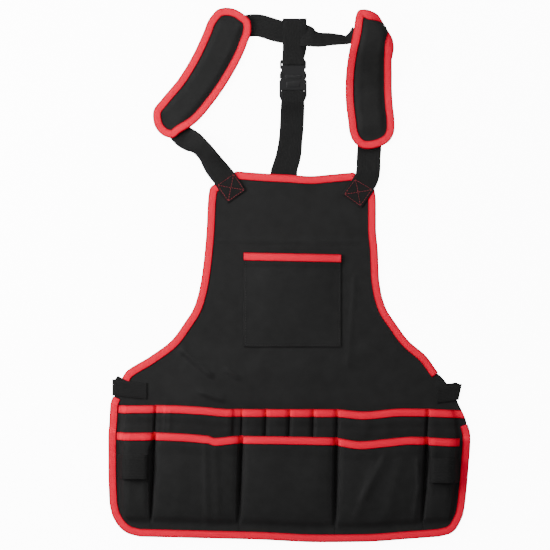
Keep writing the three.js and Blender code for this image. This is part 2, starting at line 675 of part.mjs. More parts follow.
// A tape round the mouth of a grid of cloth, whose legs lie along the cloth's columns. mouth and next hold the
// cloth's underside at the mouth and one row down.
function mouthStations(mouth, next) {
  return mouth.map((p, k) => {
    const inward = next[k].clone().sub(p).normalize();
    const face = up.clone().addScaledVector(inward, -inward.z).normalize();
    const fold = p.clone().addScaledVector(inward, -EDGE_ROOM).addScaledVector(face, CLOTH / 2);
    return { fold, inward, face, above: CLOTH / 2, below: CLOTH / 2 };
  });
}
// The tape along a row of mouths. from and to say how far its ends stay inside the cloth's edge.
function mouthBinding(cells, rows, under, from, to) {
  const [nextUp, upShare] = rows.slice(-2).map((r) => r.up);
  const mouth = [];
  const next = [];
  cells.forEach(({ columns }, cell) => {
    const width = latticePoint(cell, 1, upShare).x - latticePoint(cell, 0, upShare).x;
    const low = cell === 0 ? from / width : 0;
    const high = cell === SEAMS.length ? 1 - to / width : 1;
    for (const c of columns) {
      const across = THREE.MathUtils.clamp(c.across, low, high);
      const top = latticePoint(cell, across, upShare);
      const foot = latticePoint(cell, across, nextUp);
      mouth.push(vec(top.x, top.y, under(top, c.lift, upShare)));
      next.push(vec(foot.x, foot.y, under(foot, c.lift, nextUp)));
    }
  });
  return tape(mouthStations(mouth, next));
}

// The skirt's tape: down the left side, round the hem and up the right side to under the upper mouth. Beside
// the mouths it steps up over the pockets' cloth.
const SKIRT_TAPE_LEFT = 0.614;
const SKIRT_TAPE_RIGHT = 0.682;
function skirtBinding() {
  const early = 5;
  const downOf = (y) => (BIB_TOP - y) / APRON_HEIGHT;
  const side = (at, start) => {
    const x = outer[17].at(at).x;
    const mouths = [UPPER_MOUTH, LOWER_MOUTH].map((table) => downOf(mouthY(table, x)));
    const steps = mouths.flatMap((m) => [m - early / APRON_HEIGHT, m, m + 0.024, m + 0.056]).filter((d) => d > start);
    const span = sidePoints(at, start, HEM_START).slice(0, -1);
    const rows = rowsAt(at);
    const extra = steps.map((d) => vec(lookUp(rows, "down", d, "x"), lookUp(rows, "down", d, "y"), 0));
    const far = span.filter((p) => extra.every((q) => Math.abs(q.y - p.y) > 3));
    return [...far, ...extra].sort((p, q) => q.y - p.y);
  };
  const stack = (p) => {
    let depth = CLOTH;
    for (const table of [UPPER_MOUTH, LOWER_MOUTH]) {
      const below = mouthY(table, p.x) - p.y;
      if (below < -early - SEAM_GAP) continue;
      const fade = THREE.MathUtils.clamp((below - 15) / 17, 0, 1);
      depth += CLOTH + THREE.MathUtils.lerp(TAPE_ROOM, SEAM_GAP, fade);
    }
    return depth;
  };
  const left = side(0, SKIRT_TAPE_LEFT);
  const right = side(-1, SKIRT_TAPE_RIGHT);
  return tape(edgeStations([...left, ...outer.at(-1), ...right.reverse()], stack));
}

// A hammer loop: webbing across a side pocket, sewn at both ends and arched over its middle.
const LOOP_SHARES = [0.2, 0.25, 0.34, 0.5, 0.66, 0.8, 0.9];
function hammerLoop(cell, columns, upShare) {
  const places = cell ? LOOP_SHARES.map((share) => 1 - share).reverse() : LOOP_SHARES;
  const middle = (places[0] + places.at(-1)) / 2;
  const stations = places.map((across) => {
    const spot = latticePoint(cell, across, upShare);
    const lift = lookUp(columns, "across", across, "lift");
    const arch = Math.sqrt(Math.max(0, 1 - ((across - middle) / (places.at(-1) - middle)) ** 2));
    const above = SEAM_GAP * 2 + LOOP_RISE * arch;
    return vec(spot.x, spot.y, lowerUnder(spot, lift, upShare + 0.1) + CLOTH + above + WEBBING_THICK / 2);
  });
  const side = vec(0, 1, 0);
  return ribbon(
    bends(stations).map(({ way }, k) => ({
      at: stations[k], side, face: vec(0, 0, 0).crossVectors(way, side).normalize(),
    })),
    LOOP_WIDTH,
    WEBBING_THICK,
  );
}

// The chest pocket: a square of cloth sewn on three sides, with a taped mouth.
function chestSpot(across, upShare) {
  const x = CHEST_AT.across * HALF + CHEST_POCKET_WIDTH * (across - 0.5);
  const top = BIB_TOP - CHEST_AT.down * APRON_HEIGHT - EDGE_ROOM - CHEST_AT.tilt * CHEST_POCKET_WIDTH * across;
  const foot = BIB_TOP - CHEST_AT.down * APRON_HEIGHT - CHEST_POCKET_DEPTH;
  return { x, y: THREE.MathUtils.lerp(foot, top, upShare) };
}
function chestUnder(spot, lift, upShare) {
  const row = rowAt(CHEST_ROWS, upShare);
  return panelTop(spot.x, spot.y) + seamRoom(row) + lift * row.puff * CHEST_PUFF;
}
function chestPocket() {
  const lower = [...CHEST_ROWS].reverse().map((row) =>
    CHEST_POCKET.map((c) => {
      const spot = chestSpot(c.across, row.up);
      return vec(spot.x, spot.y, chestUnder(spot, c.lift, row.up));
    }),
  );
  return slab(lower.map((line) => line.map((p) => vec(p.x, p.y, p.z + CLOTH))), lower);
}
function chestBinding() {
  const [nextUp, upShare] = CHEST_ROWS.slice(-2).map((r) => r.up);
  const line = (share) =>
    CHEST_POCKET.map((c) => {
      const spot = chestSpot(c.across, share);
      return vec(spot.x, spot.y, chestUnder(spot, c.lift, share));
    });
  return tape(mouthStations(line(upShare), line(nextUp)));
}

// A point of a pad given flat, at a height over its underside, taken to where the pad really lies.
function padPlace(pad, x, y, height) {
  const down = (pad.top - y) / PAD_LENGTH;
  const p = vec(x, y, height + PAD_WIDTH * lookUp(pad.rows, "down", down, "lift"));
  if (!pad.roll) return p;
  const { slant, radius, angle } = pad.roll;
  const along = vec(Math.cos(radians(slant)), Math.sin(radians(slant)), 0);
  const start = vec(pad.x + pad.out * pad.roll.out * PAD_LENGTH, pad.top - pad.roll.down * PAD_LENGTH, 0);
  const past = along.dot(vec(x, y, 0).sub(start));
  if (past <= 0) return p;
  const full = radians(angle) * radius;
  const turn = Math.min(past, full) / radius;
  const rest = Math.max(0, past - full);
  const reach = radius * Math.sin(turn) + rest * Math.cos(turn) + height * Math.sin(turn);
  const drop = radius * (1 - Math.cos(turn)) + rest * Math.sin(turn) + height * (1 - Math.cos(turn));
  return p.addScaledVector(along, reach - past).addScaledVector(up, -drop);
}
function padGrid(pad) {
  return pad.rows.map((row) => {
    const half = (PAD_WIDTH * row.width) / 2 - EDGE_ROOM;
    const turn = radians(row.turn) * pad.out;
    const middle = vec(pad.x + pad.out * row.out * PAD_LENGTH, pad.top - row.down * PAD_LENGTH, 0);
    return PAD_COLUMNS.map((c) => ({
      x: middle.x + Math.cos(turn) * half * c.side,
      y: middle.y + Math.sin(turn) * half * c.side,
      fill: c.thick * row.fill,
    }));
  });
}
function padBody(pad) {
  const grid = padGrid(pad);
  const layer = (low, high) =>
    grid.map((line) => line.map(({ x, y, fill }) => padPlace(pad, x, y, THREE.MathUtils.lerp(low, high, fill))));
  return slab(layer(FLANGE_UNDER + FLANGE_THICK, PAD_UNDER + PAD_THICK), layer(FLANGE_UNDER, PAD_UNDER));
}
function padBinding(pad) {
  const grid = padGrid(pad);
  const rim = gridRim(grid.length, PAD_COLUMNS.length).map(([i, j]) => vec(grid[i][j].x, grid[i][j].y, 0));
  const half = FLANGE_THICK / 2 + PAD_TAPE_GAP - SEAM_GAP;
  const stations = bends(rim, true).map(({ way, stretch }, k) => {
    const inward = vec(0, 0, 0).crossVectors(up, way);
    const fold = rim[k].clone().addScaledVector(inward, -EDGE_ROOM * stretch);
    fold.z = FLANGE_UNDER + FLANGE_THICK / 2;
    return { fold, inward, face: up, above: half, below: half, stretch };
  });
  const flat = tape(stations, true);
  const spots = flat.attributes.position;
  for (let k = 0; k < spots.count; k += 1) {
    const p = padPlace(pad, spots.getX(k), spots.getY(k), spots.getZ(k));
    spots.setXYZ(k, p.x, p.y, p.z);
  }
  return flat;
}

// Stations of webbing through free rows of a table. The strap heads along its points, and roll lifts its right.
function strapStations(table) {
  const points = table.map((r) => vec(r.across * HALF, BIB_TOP + r.rise * HARNESS_RISE, 0));
  const bend = bends(points);
  return table.map((r, k) => {
    const { way } = bend[k];
    const flat = vec(way.y, -way.x, 0).normalize();
    const roll = radians(r.roll);
    const side = flat.clone().multiplyScalar(Math.cos(roll)).addScaledVector(up, Math.sin(roll));
    const face = flat.clone().multiplyScalar(-Math.sin(roll)).addScaledVector(up, Math.cos(roll));
    const at = points[k].clone();
    at.z = r.lift + (WEBBING_WIDTH / 2) * Math.abs(Math.sin(roll)) + (WEBBING_THICK / 2) * Math.cos(roll);
    return { at, side, face, rolled: true };
  });
}

// The back strap's buckle lies between its two lengths of webbing.
const buckleFootY = BIB_TOP + BUCKLE_FOOT * HARNESS_RISE;
const buckleTopY = buckleFootY + BUCKLE_LENGTH;
const buckleMidX = backX((buckleFootY + buckleTopY) / 2);
const BUCKLE_UNDER = WEBBING_THICK + FIT * 2;
const plugThick = BUCKLE_THICK - 2 * BUCKLE_WALL - 2 * FIT;
const buckleMidZ = BUCKLE_UNDER + BUCKLE_THICK / 2;
// Webbing in a vertical plane along X's middle, through points of { y, z }.
function standing(line, width, loop = false) {
  const points = line.map((p) => vec(p.x, p.y, p.z));
  const side = vec(1, 0, 0);
  return ribbon(
    bends(points, loop).map(({ way }, k) => ({
      at: points[k], side, face: vec(0, 0, 0).crossVectors(side, way).normalize(),
    })),
    width,
    WEBBING_THICK,
    loop,
  );
}

// A closed loop of webbing round the neck strap above and the buckle's bar below.
function backStrapLoop() {
  const half = WEBBING_THICK / 2;
  const topY = BIB_TOP + BACK_LOOP_TOP * HARNESS_RISE - half;
  const barY = buckleTopY - BUCKLE_BAR / 2;
  const reach = BUCKLE_BAR / 2 + 0.4 + half;
  const climb = plugThick / 2 + 0.4 + half;
  const neckFoot = BIB_TOP + NECK_CROSS * HARNESS_RISE - WEBBING_WIDTH / 2 - 4;
  const neckHigh = 2 * WEBBING_THICK + 2 * SEAM_GAP + half + 0.6;
  const meetY = (neckFoot + barY) / 2 + 2;
  const line = [
    { y: topY, z: (neckHigh + half) / 2 },
    { y: topY - 0.8, z: neckHigh - 0.6 },
    { y: topY - 3, z: neckHigh },
    { y: neckFoot, z: neckHigh },
    { y: meetY, z: half + WEBBING_THICK + SEAM_GAP + 1.4 },
    { y: barY + 5, z: buckleMidZ + climb },
    { y: barY - reach + 0.8, z: buckleMidZ + climb },
    { y: barY - reach, z: buckleMidZ + climb - 0.8 },
    { y: barY - reach, z: buckleMidZ - climb + 0.8 },
    { y: barY - reach + 0.8, z: buckleMidZ - climb },
    { y: barY + 4, z: buckleMidZ - climb },
    { y: barY + 11, z: half },
    { y: neckFoot, z: half },
    { y: topY - 0.8, z: half },
  ];
  return standing(line.map((p) => ({ ...p, x: buckleMidX })), WEBBING_WIDTH - 1, true);
}

// The lower strap: sewn to the belt, up under the bib, over the buckle's foot, and back through its slot.
const SOCKET_SLOT_AT = 14;
function backStrap() {
  const half = WEBBING_THICK / 2;
  const foot = buckleFootY;
  const double = WEBBING_THICK + SEAM_GAP + half;
  const high = BUCKLE_UNDER + BUCKLE_THICK + 0.4 + half;
  const slot = foot + SOCKET_SLOT_AT + 0.4 + half;
  const beltMid = beltY(crossX);
  const line = [
    { y: beltMid - BELT_WIDTH / 2, z: double },
    { y: beltMid + BELT_WIDTH / 2 + 2, z: double },
    { y: beltMid + BELT_WIDTH / 2 + 16, z: half },
    { y: BIB_TOP - 2, z: half },
    { y: BIB_TOP + 10.5, z: half },
    { y: BIB_TOP + 29, z: half },
    { y: BIB_TOP + 47, z: half },
    { y: foot - 58, z: half },
    { y: foot - 44, z: double },
    { y: foot - 24, z: double },
    { y: foot - 3, z: high - 0.2 },
    { y: foot + 1, z: high },
    { y: slot - 0.8, z: high },
    { y: slot, z: high - 0.8 },
    { y: slot, z: half + 0.9 },
    { y: slot - 0.9, z: half },
    { y: foot - 40, z: half },
  ];
  return standing(line.map((p) => ({ ...p, x: p.y > foot - 10 ? buckleMidX : backX(p.y) })), WEBBING_WIDTH - 1);
}

// Boolean joins and cuts of hard pieces.
function solidOf(geometry) {
  const bare = geometry.index ? geometry.toNonIndexed() : geometry.clone();
  bare.deleteAttribute("normal");
  bare.deleteAttribute("uv");
  const merged = mergeVertices(bare, 1e-4);
  return new wasm.Manifold(
    new wasm.Mesh({
      numProp: 3,
      vertProperties: new Float32Array(merged.attributes.position.array),
      triVerts: new Uint32Array(merged.index.array),
    }),
  );
}
function geometryOf(solid) {
  const mesh = solid.getMesh();
  const geometry = new THREE.BufferGeometry();
  geometry.setAttribute("position", new THREE.BufferAttribute(Float32Array.from(mesh.vertProperties), 3));
  geometry.setIndex(new THREE.BufferAttribute(Uint32Array.from(mesh.triVerts), 1));
  return geometry;
}
// A plate of an outline in X and Y, from a height up.
function plate(points, low, high) {
  const shape = new THREE.Shape(points.map(([x, y]) => new THREE.Vector2(x, y)));
  const geometry = new THREE.ExtrudeGeometry(shape, { depth: high - low, bevelEnabled: false });
  return geometry.translate(0, 0, low);
}
const block = (x, y, z, at) => new THREE.BoxGeometry(x, y, z).translate(at.x, at.y, at.z);

// The buckle, seen with its foot at the origin. Its socket is a tapered shell that the plug's arms click into.
const SOCKET_LENGTH = BUCKLE_LENGTH * 0.52;
const socketHalf = BUCKLE_WIDTH / 2;
const slotWide = WEBBING_WIDTH - 1 + 2 * FIT;
const cavityFoot = SOCKET_SLOT_AT + BUCKLE_SLOT + BUCKLE_WALL;
function cutAway(geometry, cuts) {
  let solid = solidOf(geometry);
  for (const cut of cuts) solid = solid.subtract(solidOf(cut));
  return geometryOf(solid);
}
function buckleSocket() {
  const foot = socketHalf * 0.86;
  const outline = [
    [-foot, 0], [foot, 0], [socketHalf - 1, 5], [socketHalf, 8], [socketHalf, SOCKET_LENGTH - 3],
    [socketHalf - 2, SOCKET_LENGTH], [-socketHalf + 2, SOCKET_LENGTH], [-socketHalf, SOCKET_LENGTH - 3],
    [-socketHalf, 8], [-socketHalf + 1, 5],
  ];
  const inside = BUCKLE_WIDTH - 2 * (BUCKLE_WALL + 1);
  const cavity = SOCKET_LENGTH - cavityFoot;
  return cutAway(plate(outline, BUCKLE_UNDER, BUCKLE_UNDER + BUCKLE_THICK), [
    block(slotWide, BUCKLE_SLOT, BUCKLE_THICK * 2, vec(0, SOCKET_SLOT_AT + BUCKLE_SLOT / 2, buckleMidZ)),
    block(inside, cavity * 2, BUCKLE_THICK - 2 * BUCKLE_WALL, vec(0, cavityFoot + cavity, buckleMidZ)),
  ]);
}
function bucklePlug() {
  const top = BUCKLE_LENGTH;
  const frame = socketHalf - 1;
  const waist = socketHalf - 4.2;
  const arm = socketHalf - 0.6;
  const inside = socketHalf - BUCKLE_WALL - 1 - FIT;
  const tip = cavityFoot + 1.5;
  const mouth = SOCKET_LENGTH + 0.5;
  const half = [
    [inside - 4, tip], [inside, tip + 5], [inside, mouth], [arm, mouth + 1.5], [arm, top - 23],
    [arm - 1.5, top - 18.5], [waist, top - 16.5], [frame, top - 13], [frame, top - 3], [frame - 2, top],
  ];
  const outline = [...half, ...half.map(([x, y]) => [-x, y]).reverse()];
  const armGap = 4;
  const armFoot = SOCKET_LENGTH + 5;
  const gap = (x) => block(armGap, (armFoot - tip) * 2, BUCKLE_THICK * 2, vec(x, tip, buckleMidZ));
  return cutAway(plate(outline, buckleMidZ - plugThick / 2, buckleMidZ + plugThick / 2), [
    block(slotWide, BUCKLE_SLOT, BUCKLE_THICK * 2, vec(0, top - BUCKLE_BAR - BUCKLE_SLOT / 2, buckleMidZ)),
    gap(-inside * 0.45),
    gap(inside * 0.45),
  ]);
}

// Half of the waist belt: sewn on the front, folded round the panel's edge, and behind it to the hidden buckle.
function waistBelt(place, sign) {
  const half = WEBBING_THICK / 2;
  const fold = place.fold * HALF;
  const end = place.end * HALF;
  const foldY = beltY(fold);
  const endY = BIB_TOP - APRON_HEIGHT * place.endDown;
  const front = (x) => {
    const y = THREE.MathUtils.mapLinear(x, end, fold, endY, foldY);
    const over = Math.max(...[-1, 0, 1].map((k) => panelTop(x, y + (k * BELT_WIDTH) / 2)));
    return vec(x, y, over + SEAM_GAP + half);
  };
  const reach = fold - sign * 5;
  const top = front(reach).z;
  const behind = (x) => vec(x, beltY(x), half);
  const points = [
    front(end),
    front(THREE.MathUtils.lerp(end, reach, 0.34)),
    front(THREE.MathUtils.lerp(end, reach, 0.67)),
    front(reach),
    vec(fold - sign * 1.6, foldY, top - 0.3),
    vec(fold - sign * half, foldY, (top + half) / 2),
    vec(fold - sign * 1.6, foldY, half + 0.3),
    behind(reach),
    behind(fold - sign * 40),
    behind(buckleX + sign * (WAIST_BUCKLE_LENGTH / 2 + FIT)),
  ];
  const side = vec(0, 1, 0);
  return ribbon(
    bends(points).map(({ way }, k) => ({
      at: points[k], side, face: vec(0, 0, 0).crossVectors(side, way).normalize(),
    })),
    BELT_WIDTH,
    WEBBING_THICK,
  );
}
function waistBuckle() {
  const y = beltY(buckleX);
  return block(WAIST_BUCKLE_LENGTH, BELT_WIDTH + 6, WAIST_BUCKLE_THICK, vec(buckleX, y, WAIST_BUCKLE_THICK / 2));
}

// Materials
const black = { color: 0x242424, roughness: 0.75, metalness: 0 };
const materials = {
  cloth: new THREE.MeshStandardMaterial(black),
  webbing: new THREE.MeshStandardMaterial({ color: 0x1c1c1c, roughness: 0.85, metalness: 0 }),
  tape: new THREE.MeshStandardMaterial({ color: 0xf23a44, roughness: 0.7, metalness: 0 }),
  plastic: new THREE.MeshStandardMaterial({ color: 0x18181a, roughness: 0.4, metalness: 0 }),
};

const apron = new THREE.Group();
function add(name, geometry, material, parent = apron) {
  const mesh = new THREE.Mesh(geometry, materials[material]);
  mesh.name = name;
  parent.add(mesh);
}

add("body_panel", bodyPanel(), "cloth");
add("bib_binding", bibBinding(), "tape");
add("skirt_binding", skirtBinding(), "tape");
add("chest_pocket", chestPocket(), "cloth");
add("chest_pocket_binding", chestBinding(), "tape");
UPPER_CELLS.forEach(({ name, columns }, cell) => add(name, pocketPanel(cell, columns, UPPER_ROWS, upperUnder), "cloth"));
LOWER_CELLS.forEach(({ name, columns }, cell) => add(name, pocketPanel(cell, columns, LOWER_ROWS, lowerUnder), "cloth"));
const insideTape = TAPE_WIDTH;
add("upper_pocket_binding", mouthBinding(UPPER_CELLS, UPPER_ROWS, upperUnder, insideTape, 0), "tape");
add("lower_pocket_binding", mouthBinding(LOWER_CELLS, LOWER_ROWS, lowerUnder, insideTape, insideTape), "tape");
const LOOP_UP = 0.68;
add("hammer_loop_left", hammerLoop(0, SIDE_POCKET, LOOP_UP), "webbing");
add("hammer_loop_right", hammerLoop(SEAMS.length, mirrored(SIDE_POCKET), LOOP_UP), "webbing");

const leftPad = { rows: LEFT_PAD, x: LEFT_PAD_AT * HALF, top: PAD_TOP, out: -1 };
const rightTop = PAD_TOP - RIGHT_PAD_LOWER;
const rightPad = { rows: RIGHT_PAD, x: RIGHT_PAD_AT * HALF, top: rightTop, out: 1, roll: CORNER_ROLL };
add("shoulder_pad_left", padBody(leftPad), "cloth");
add("shoulder_pad_left_binding", padBinding(leftPad), "tape");
add("shoulder_pad_right", padBody(rightPad), "cloth");
add("shoulder_pad_right_binding", padBinding(rightPad), "tape");
const strap = (stations) => ribbon(stations, WEBBING_WIDTH, WEBBING_THICK);
add("front_strap_left", strap(strapStations(LEFT_STRAP)), "webbing");
add("front_strap_right", strap(strapStations(RIGHT_STRAP)), "webbing");
add("neck_strap", strap(strapStations(NECK_STRAP)), "webbing");
add("back_strap_loop", backStrapLoop(), "webbing");
add("back_strap", backStrap(), "webbing");
add("waist_belt_left", waistBelt(BELT_LEFT, -1), "webbing");
add("waist_belt_right", waistBelt(BELT_RIGHT, 1), "webbing");
add("waist_buckle", waistBuckle(), "plastic");

const buckle = new THREE.Group();
buckle.position.set(buckleMidX, buckleFootY, 0);
apron.add(buckle);
add("back_buckle_socket", buckleSocket(), "plastic", buckle);
add("back_buckle_plug", bucklePlug(), "plastic", buckle);

export default apron;
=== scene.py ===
import math

import bpy
import numpy as np
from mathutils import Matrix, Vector


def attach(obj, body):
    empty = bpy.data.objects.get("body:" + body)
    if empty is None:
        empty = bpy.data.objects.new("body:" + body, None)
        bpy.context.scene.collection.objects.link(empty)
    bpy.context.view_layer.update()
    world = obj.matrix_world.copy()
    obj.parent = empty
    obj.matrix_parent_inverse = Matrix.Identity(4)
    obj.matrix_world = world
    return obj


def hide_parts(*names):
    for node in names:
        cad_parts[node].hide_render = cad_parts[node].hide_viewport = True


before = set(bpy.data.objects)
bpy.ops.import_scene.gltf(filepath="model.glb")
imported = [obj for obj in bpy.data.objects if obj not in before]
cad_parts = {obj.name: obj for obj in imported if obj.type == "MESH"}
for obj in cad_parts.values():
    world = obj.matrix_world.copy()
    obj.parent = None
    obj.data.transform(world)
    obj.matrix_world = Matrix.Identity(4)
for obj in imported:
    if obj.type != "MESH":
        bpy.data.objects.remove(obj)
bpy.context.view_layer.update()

# Camera, table and light.
# The apron was photographed from straight above on a bright white table, about 1.6 mm of it to a pixel. The
# camera zooms in a little more than that, which makes up for the table's glare at the rim of each thing.
MM = 0.001
PIXEL = 1.6
IMAGE = 550
IMAGE_MIDDLE = (275, 274.5)
ORIGIN_PIXEL = (289.3, 275)
HEIGHT = 4.2
CLOSER = 1.0035
SENSOR = 36.0
camera_data = bpy.data.cameras.new("camera")
camera_data.sensor_width = SENSOR
camera_data.lens = SENSOR * HEIGHT / (IMAGE * PIXEL * MM) * CLOSER
camera_data.clip_end = 50.0
camera = bpy.data.objects.new("camera", camera_data)
aside = [(middle - origin) * PIXEL * MM for middle, origin in zip(IMAGE_MIDDLE, ORIGIN_PIXEL)]
camera.location = (*aside, HEIGHT)
bpy.context.scene.collection.objects.link(camera)
bpy.context.scene.camera = camera


def node_material(name, roughness, color, specular):
    """A new material with its shader's constant values on its own sockets. Returns it, its tree and its
    shader."""
    material = bpy.data.materials.new(name)
    material.use_nodes = True
    shader = material.node_tree.nodes["Principled BSDF"]
    shader.inputs["Roughness"].default_value = roughness
    shader.inputs["Base Color"].default_value = (*color, 1)
    shader.inputs["Specular IOR Level"].default_value = specular
    return material, material.node_tree, shader


def add_node(tree, kind, **values):
    """A new shader node with constant values on its own sockets, in whose names _ stands for a space."""
    node = tree.nodes.new(f"ShaderNode{kind}")
    for socket, value in values.items():
        node.inputs[socket.replace("_", " ")].default_value = value
    return node


def spread(tree, value, low, high, socket, start=0.0, end=1.0):
    """Leads a value to a socket, stretched from its range start to end to the range low to high."""
    span = add_node(tree, "MapRange", From_Min=start, From_Max=end, To_Min=low, To_Max=high)
    tree.links.new(value, span.inputs["Value"])
    tree.links.new(span.outputs["Result"], socket)


def put_mesh(name, points, faces, material, uv=None):
    """A mesh object from points in millimetres, quads as rows of indices, and a UV pair per point."""
    mesh = bpy.data.meshes.new(name)
    corners = np.concatenate(faces).ravel()
    starts = np.arange(0, len(corners), 4)
    mesh.vertices.add(len(points))
    mesh.vertices.foreach_set("co", (np.asarray(points) * MM).astype(np.float32).ravel())
    mesh.loops.add(len(corners))
    mesh.loops.foreach_set("vertex_index", corners.astype(np.int32))
    mesh.polygons.add(len(starts))
    mesh.polygons.foreach_set("loop_start", starts.astype(np.int32))
    mesh.polygons.foreach_set("use_smooth", np.ones(len(starts), dtype=bool))
    if uv is not None:
        layer = mesh.uv_layers.new(name="UVMap")
        layer.data.foreach_set("uv", np.asarray(uv)[corners].astype(np.float32).ravel())
    mesh.update()
    mesh.validate()
    mesh.materials.append(material)
    piece = bpy.data.objects.new(name, mesh)
    bpy.context.scene.collection.objects.link(piece)
    return piece


TABLE_HALF = 9000
TABLE_DROP = -0.4
table_finish, tree, shader = node_material("white_table", 0.9, (0.93, 0.93, 0.93), 0.2)
grain = add_node(tree, "TexNoise", Scale=3.0)
spread(tree, grain.outputs["Fac"], 0.9, 0.94, shader.inputs["Base Color"])
shader.inputs["Emission Color"].default_value = (1, 1, 1, 1)
shader.inputs["Emission Strength"].default_value = 11.0
corners = np.array([[-1, -1, 0], [1, -1, 0], [1, 1, 0], [-1, 1, 0]]) * TABLE_HALF + (0, 0, TABLE_DROP)
table_top = put_mesh("table_top", corners, [np.array([[0, 1, 2, 3]])], table_finish)
table_top.visible_diffuse = False
table_top.visible_glossy = False

world = bpy.data.worlds.new("studio")
world.use_nodes = True
world.node_tree.nodes["Background"].inputs["Color"].default_value = (1, 1, 1, 1)
world.node_tree.nodes["Background"].inputs["Strength"].default_value = 0.4
bpy.context.scene.world = world
for name, place, size, power in (
    ("soft_light_left", (-1.1, 0.2, 0.85), 0.8, 33),
    ("soft_light_top", (0.0, 1.3, 1.0), 0.9, 17),
    ("soft_light_right", (2.6, 0.4, 2.6), 1.6, 8),
):
    lamp = bpy.data.lights.new(name, "AREA")
    lamp.size = size
    lamp.energy = power
    soft = bpy.data.objects.new(name, lamp)
    soft.location = place
    soft.rotation_mode = "QUATERNION"
    soft.rotation_quaternion = (-Vector(place)).to_track_quat("-Z", "Y")
    bpy.context.scene.collection.objects.link(soft)

# The body panel: bib and skirt in one piece of black coated polyester, laid on the table over its own straps.
# Its bib is narrow, its armholes flare out to the waist, and the skirt's lower corners are round.
APRON_HEIGHT = 590.0
HALF = 288.0
BIB_TOP = 164.0
CLOTH = 1.2
GAP = 0.4
EDGE_ROOM = 1.4
WEBBING_THICK = 1.6
UNDER = WEBBING_THICK + GAP
OUTLINE_DOWN = [
    0, 0.022, 0.046, 0.087, 0.152, 0.217, 0.282, 0.326, 0.369, 0.412, 0.456, 0.499, 0.543, 0.567,
    0.597, 0.63, 0.673, 0.716, 0.803, 0.89, 0.923, 0.944, 0.963, 0.977, 0.985,
]
OUTLINE_LEFT = [
    0.294, 0.367, 0.439, 0.45, 0.456, 0.467, 0.483, 0.5, 0.528, 0.583, 0.65, 0.767, 0.906, 0.933,
    0.964, 0.989, 0.994, 1, 1, 0.994, 0.981, 0.961, 0.931, 0.889, 0.828,
]
OUTLINE_RIGHT = [
    0.356, 0.406, 0.469, 0.478, 0.478, 0.489, 0.494, 0.506, 0.533, 0.589, 0.656, 0.756, 0.822, 0.864,
    0.906, 0.939, 0.978, 1, 0.989, 0.972, 0.961, 0.944, 0.922, 0.889, 0.828,
]
TOP_DIP = [[0, 0.25, 0.46, 0.63, 0.8, 1], [0, 0.006, 0.0095, 0.013, 0.0087, 0.003]]
HEM_SAG = [[0, 0.2, 0.4, 0.6, 0.75, 0.9, 1], [0, 0.004, 0.008, 0.015, 0.014, 0.006, 0]]
HEM_DOWN = 0.985
# The untaped stretches of the left and the right side, by the belt, in shares of the height.
BARE = ((0.56, 0.606), (0.545, 0.68))
BARE_EASE = 0.004
# What lies under the panel is thickest where the back strap meets the belt, where that strap passes under
# the bib's tape, and at the belt's buckle: the strap's middle, the buckle's middle, and the belt's share of
# the height.
BACK_X = -9.5
WAIST_BUCKLE_X = -0.4 * HALF
BELT_DOWN = 0.583
BELT_DROP = 0.012
# The folds left from storing it: from x, y to x, y, then width, height and lean.
PANEL_FOLDS = [
    (-176, -119, -122, -165, 12, 4.4, 0.6),
    (-146, -186, -104, -202, 14, 2.8, 0.5),
    (-104, -150, -80, -168, 11, 2.4, 0.5),
    (-118, 54, 112, 51, 9, 0.8, 0.3),
    (104, 0, 92, -150, 12, 0.9, 0.4),
    (150, -108, 60, -150, 30, 1.2, 0.3),
    (-60, -140, 40, -165, 34, 1.0, 0.2),
]


def eased(t):
    """0 below 0 and 1 above 1, with a level start and end between: 3t² - 2t³."""
    t = np.clip(t, 0, 1)
    return t * t * (3 - 2 * t)


def cubic(keys, values, slope, at):
    """A line through a table's rows: between two rows, the cubic that has their values and their slopes."""
    step = np.diff(keys)
    i = np.clip(np.searchsorted(keys, at, side="right") - 1, 0, len(step) - 1)
    t = (at - keys[i]) / step[i]
    return (
        (2 * t**3 - 3 * t**2 + 1) * values[i] + (t**3 - 2 * t**2 + t) * step[i] * slope[i]
        + (3 * t**2 - 2 * t**3) * values[i + 1] + (t**3 - t**2) * step[i] * slope[i + 1]
    )


def through(keys, values, at):
    """A line that never swings past a table's rows: the slope at a row is the harmonic mean of its two sides'
    slopes, and nought where they differ in sign. It is level beyond the table's ends."""
    keys, values = np.asarray(keys, float), np.asarray(values, float)
    rise = np.diff(values) / np.diff(keys)
    product = rise[:-1] * rise[1:]
    total = np.where(np.abs(rise[:-1] + rise[1:]) < 1e-12, 1, rise[:-1] + rise[1:])
    inner = np.where(product > 0, 2 * product / total, 0)
    slope = np.concatenate([rise[:1], inner, rise[-1:]])
    return cubic(keys, values, slope, np.clip(at, keys[0], keys[-1]))


def outline_point(down, across):
    """Where the outline's row at a share of the height is at a share across, in the plane of the table. The
    top edge's dip fades out by a tenth of the height, and the hem's sag comes in from four fifths."""
    half_left = HALF * through(OUTLINE_DOWN, OUTLINE_LEFT, down)
    half_right = HALF * through(OUTLINE_DOWN, OUTLINE_RIGHT, down)
    dip = through(*TOP_DIP, across) * (1 - eased(down / 0.1))
    sag = through(*HEM_SAG, across) * eased((down - 0.8) / (HEM_DOWN - 0.8))
    x = -half_left + (half_left + half_right) * across
    return x, BIB_TOP - APRON_HEIGHT * (down + dip + sag)


def mound(x, y, cx, cy, half_x, half_y, fall, height):
    """A flat-topped rise over a thing under the cloth: full height over a rectangle, and down over a
    distance."""
    away = np.hypot(np.maximum(0, abs(x - cx) - half_x), np.maximum(0, abs(y - cy) - half_y))
    return height * (1 - eased(away / fall))


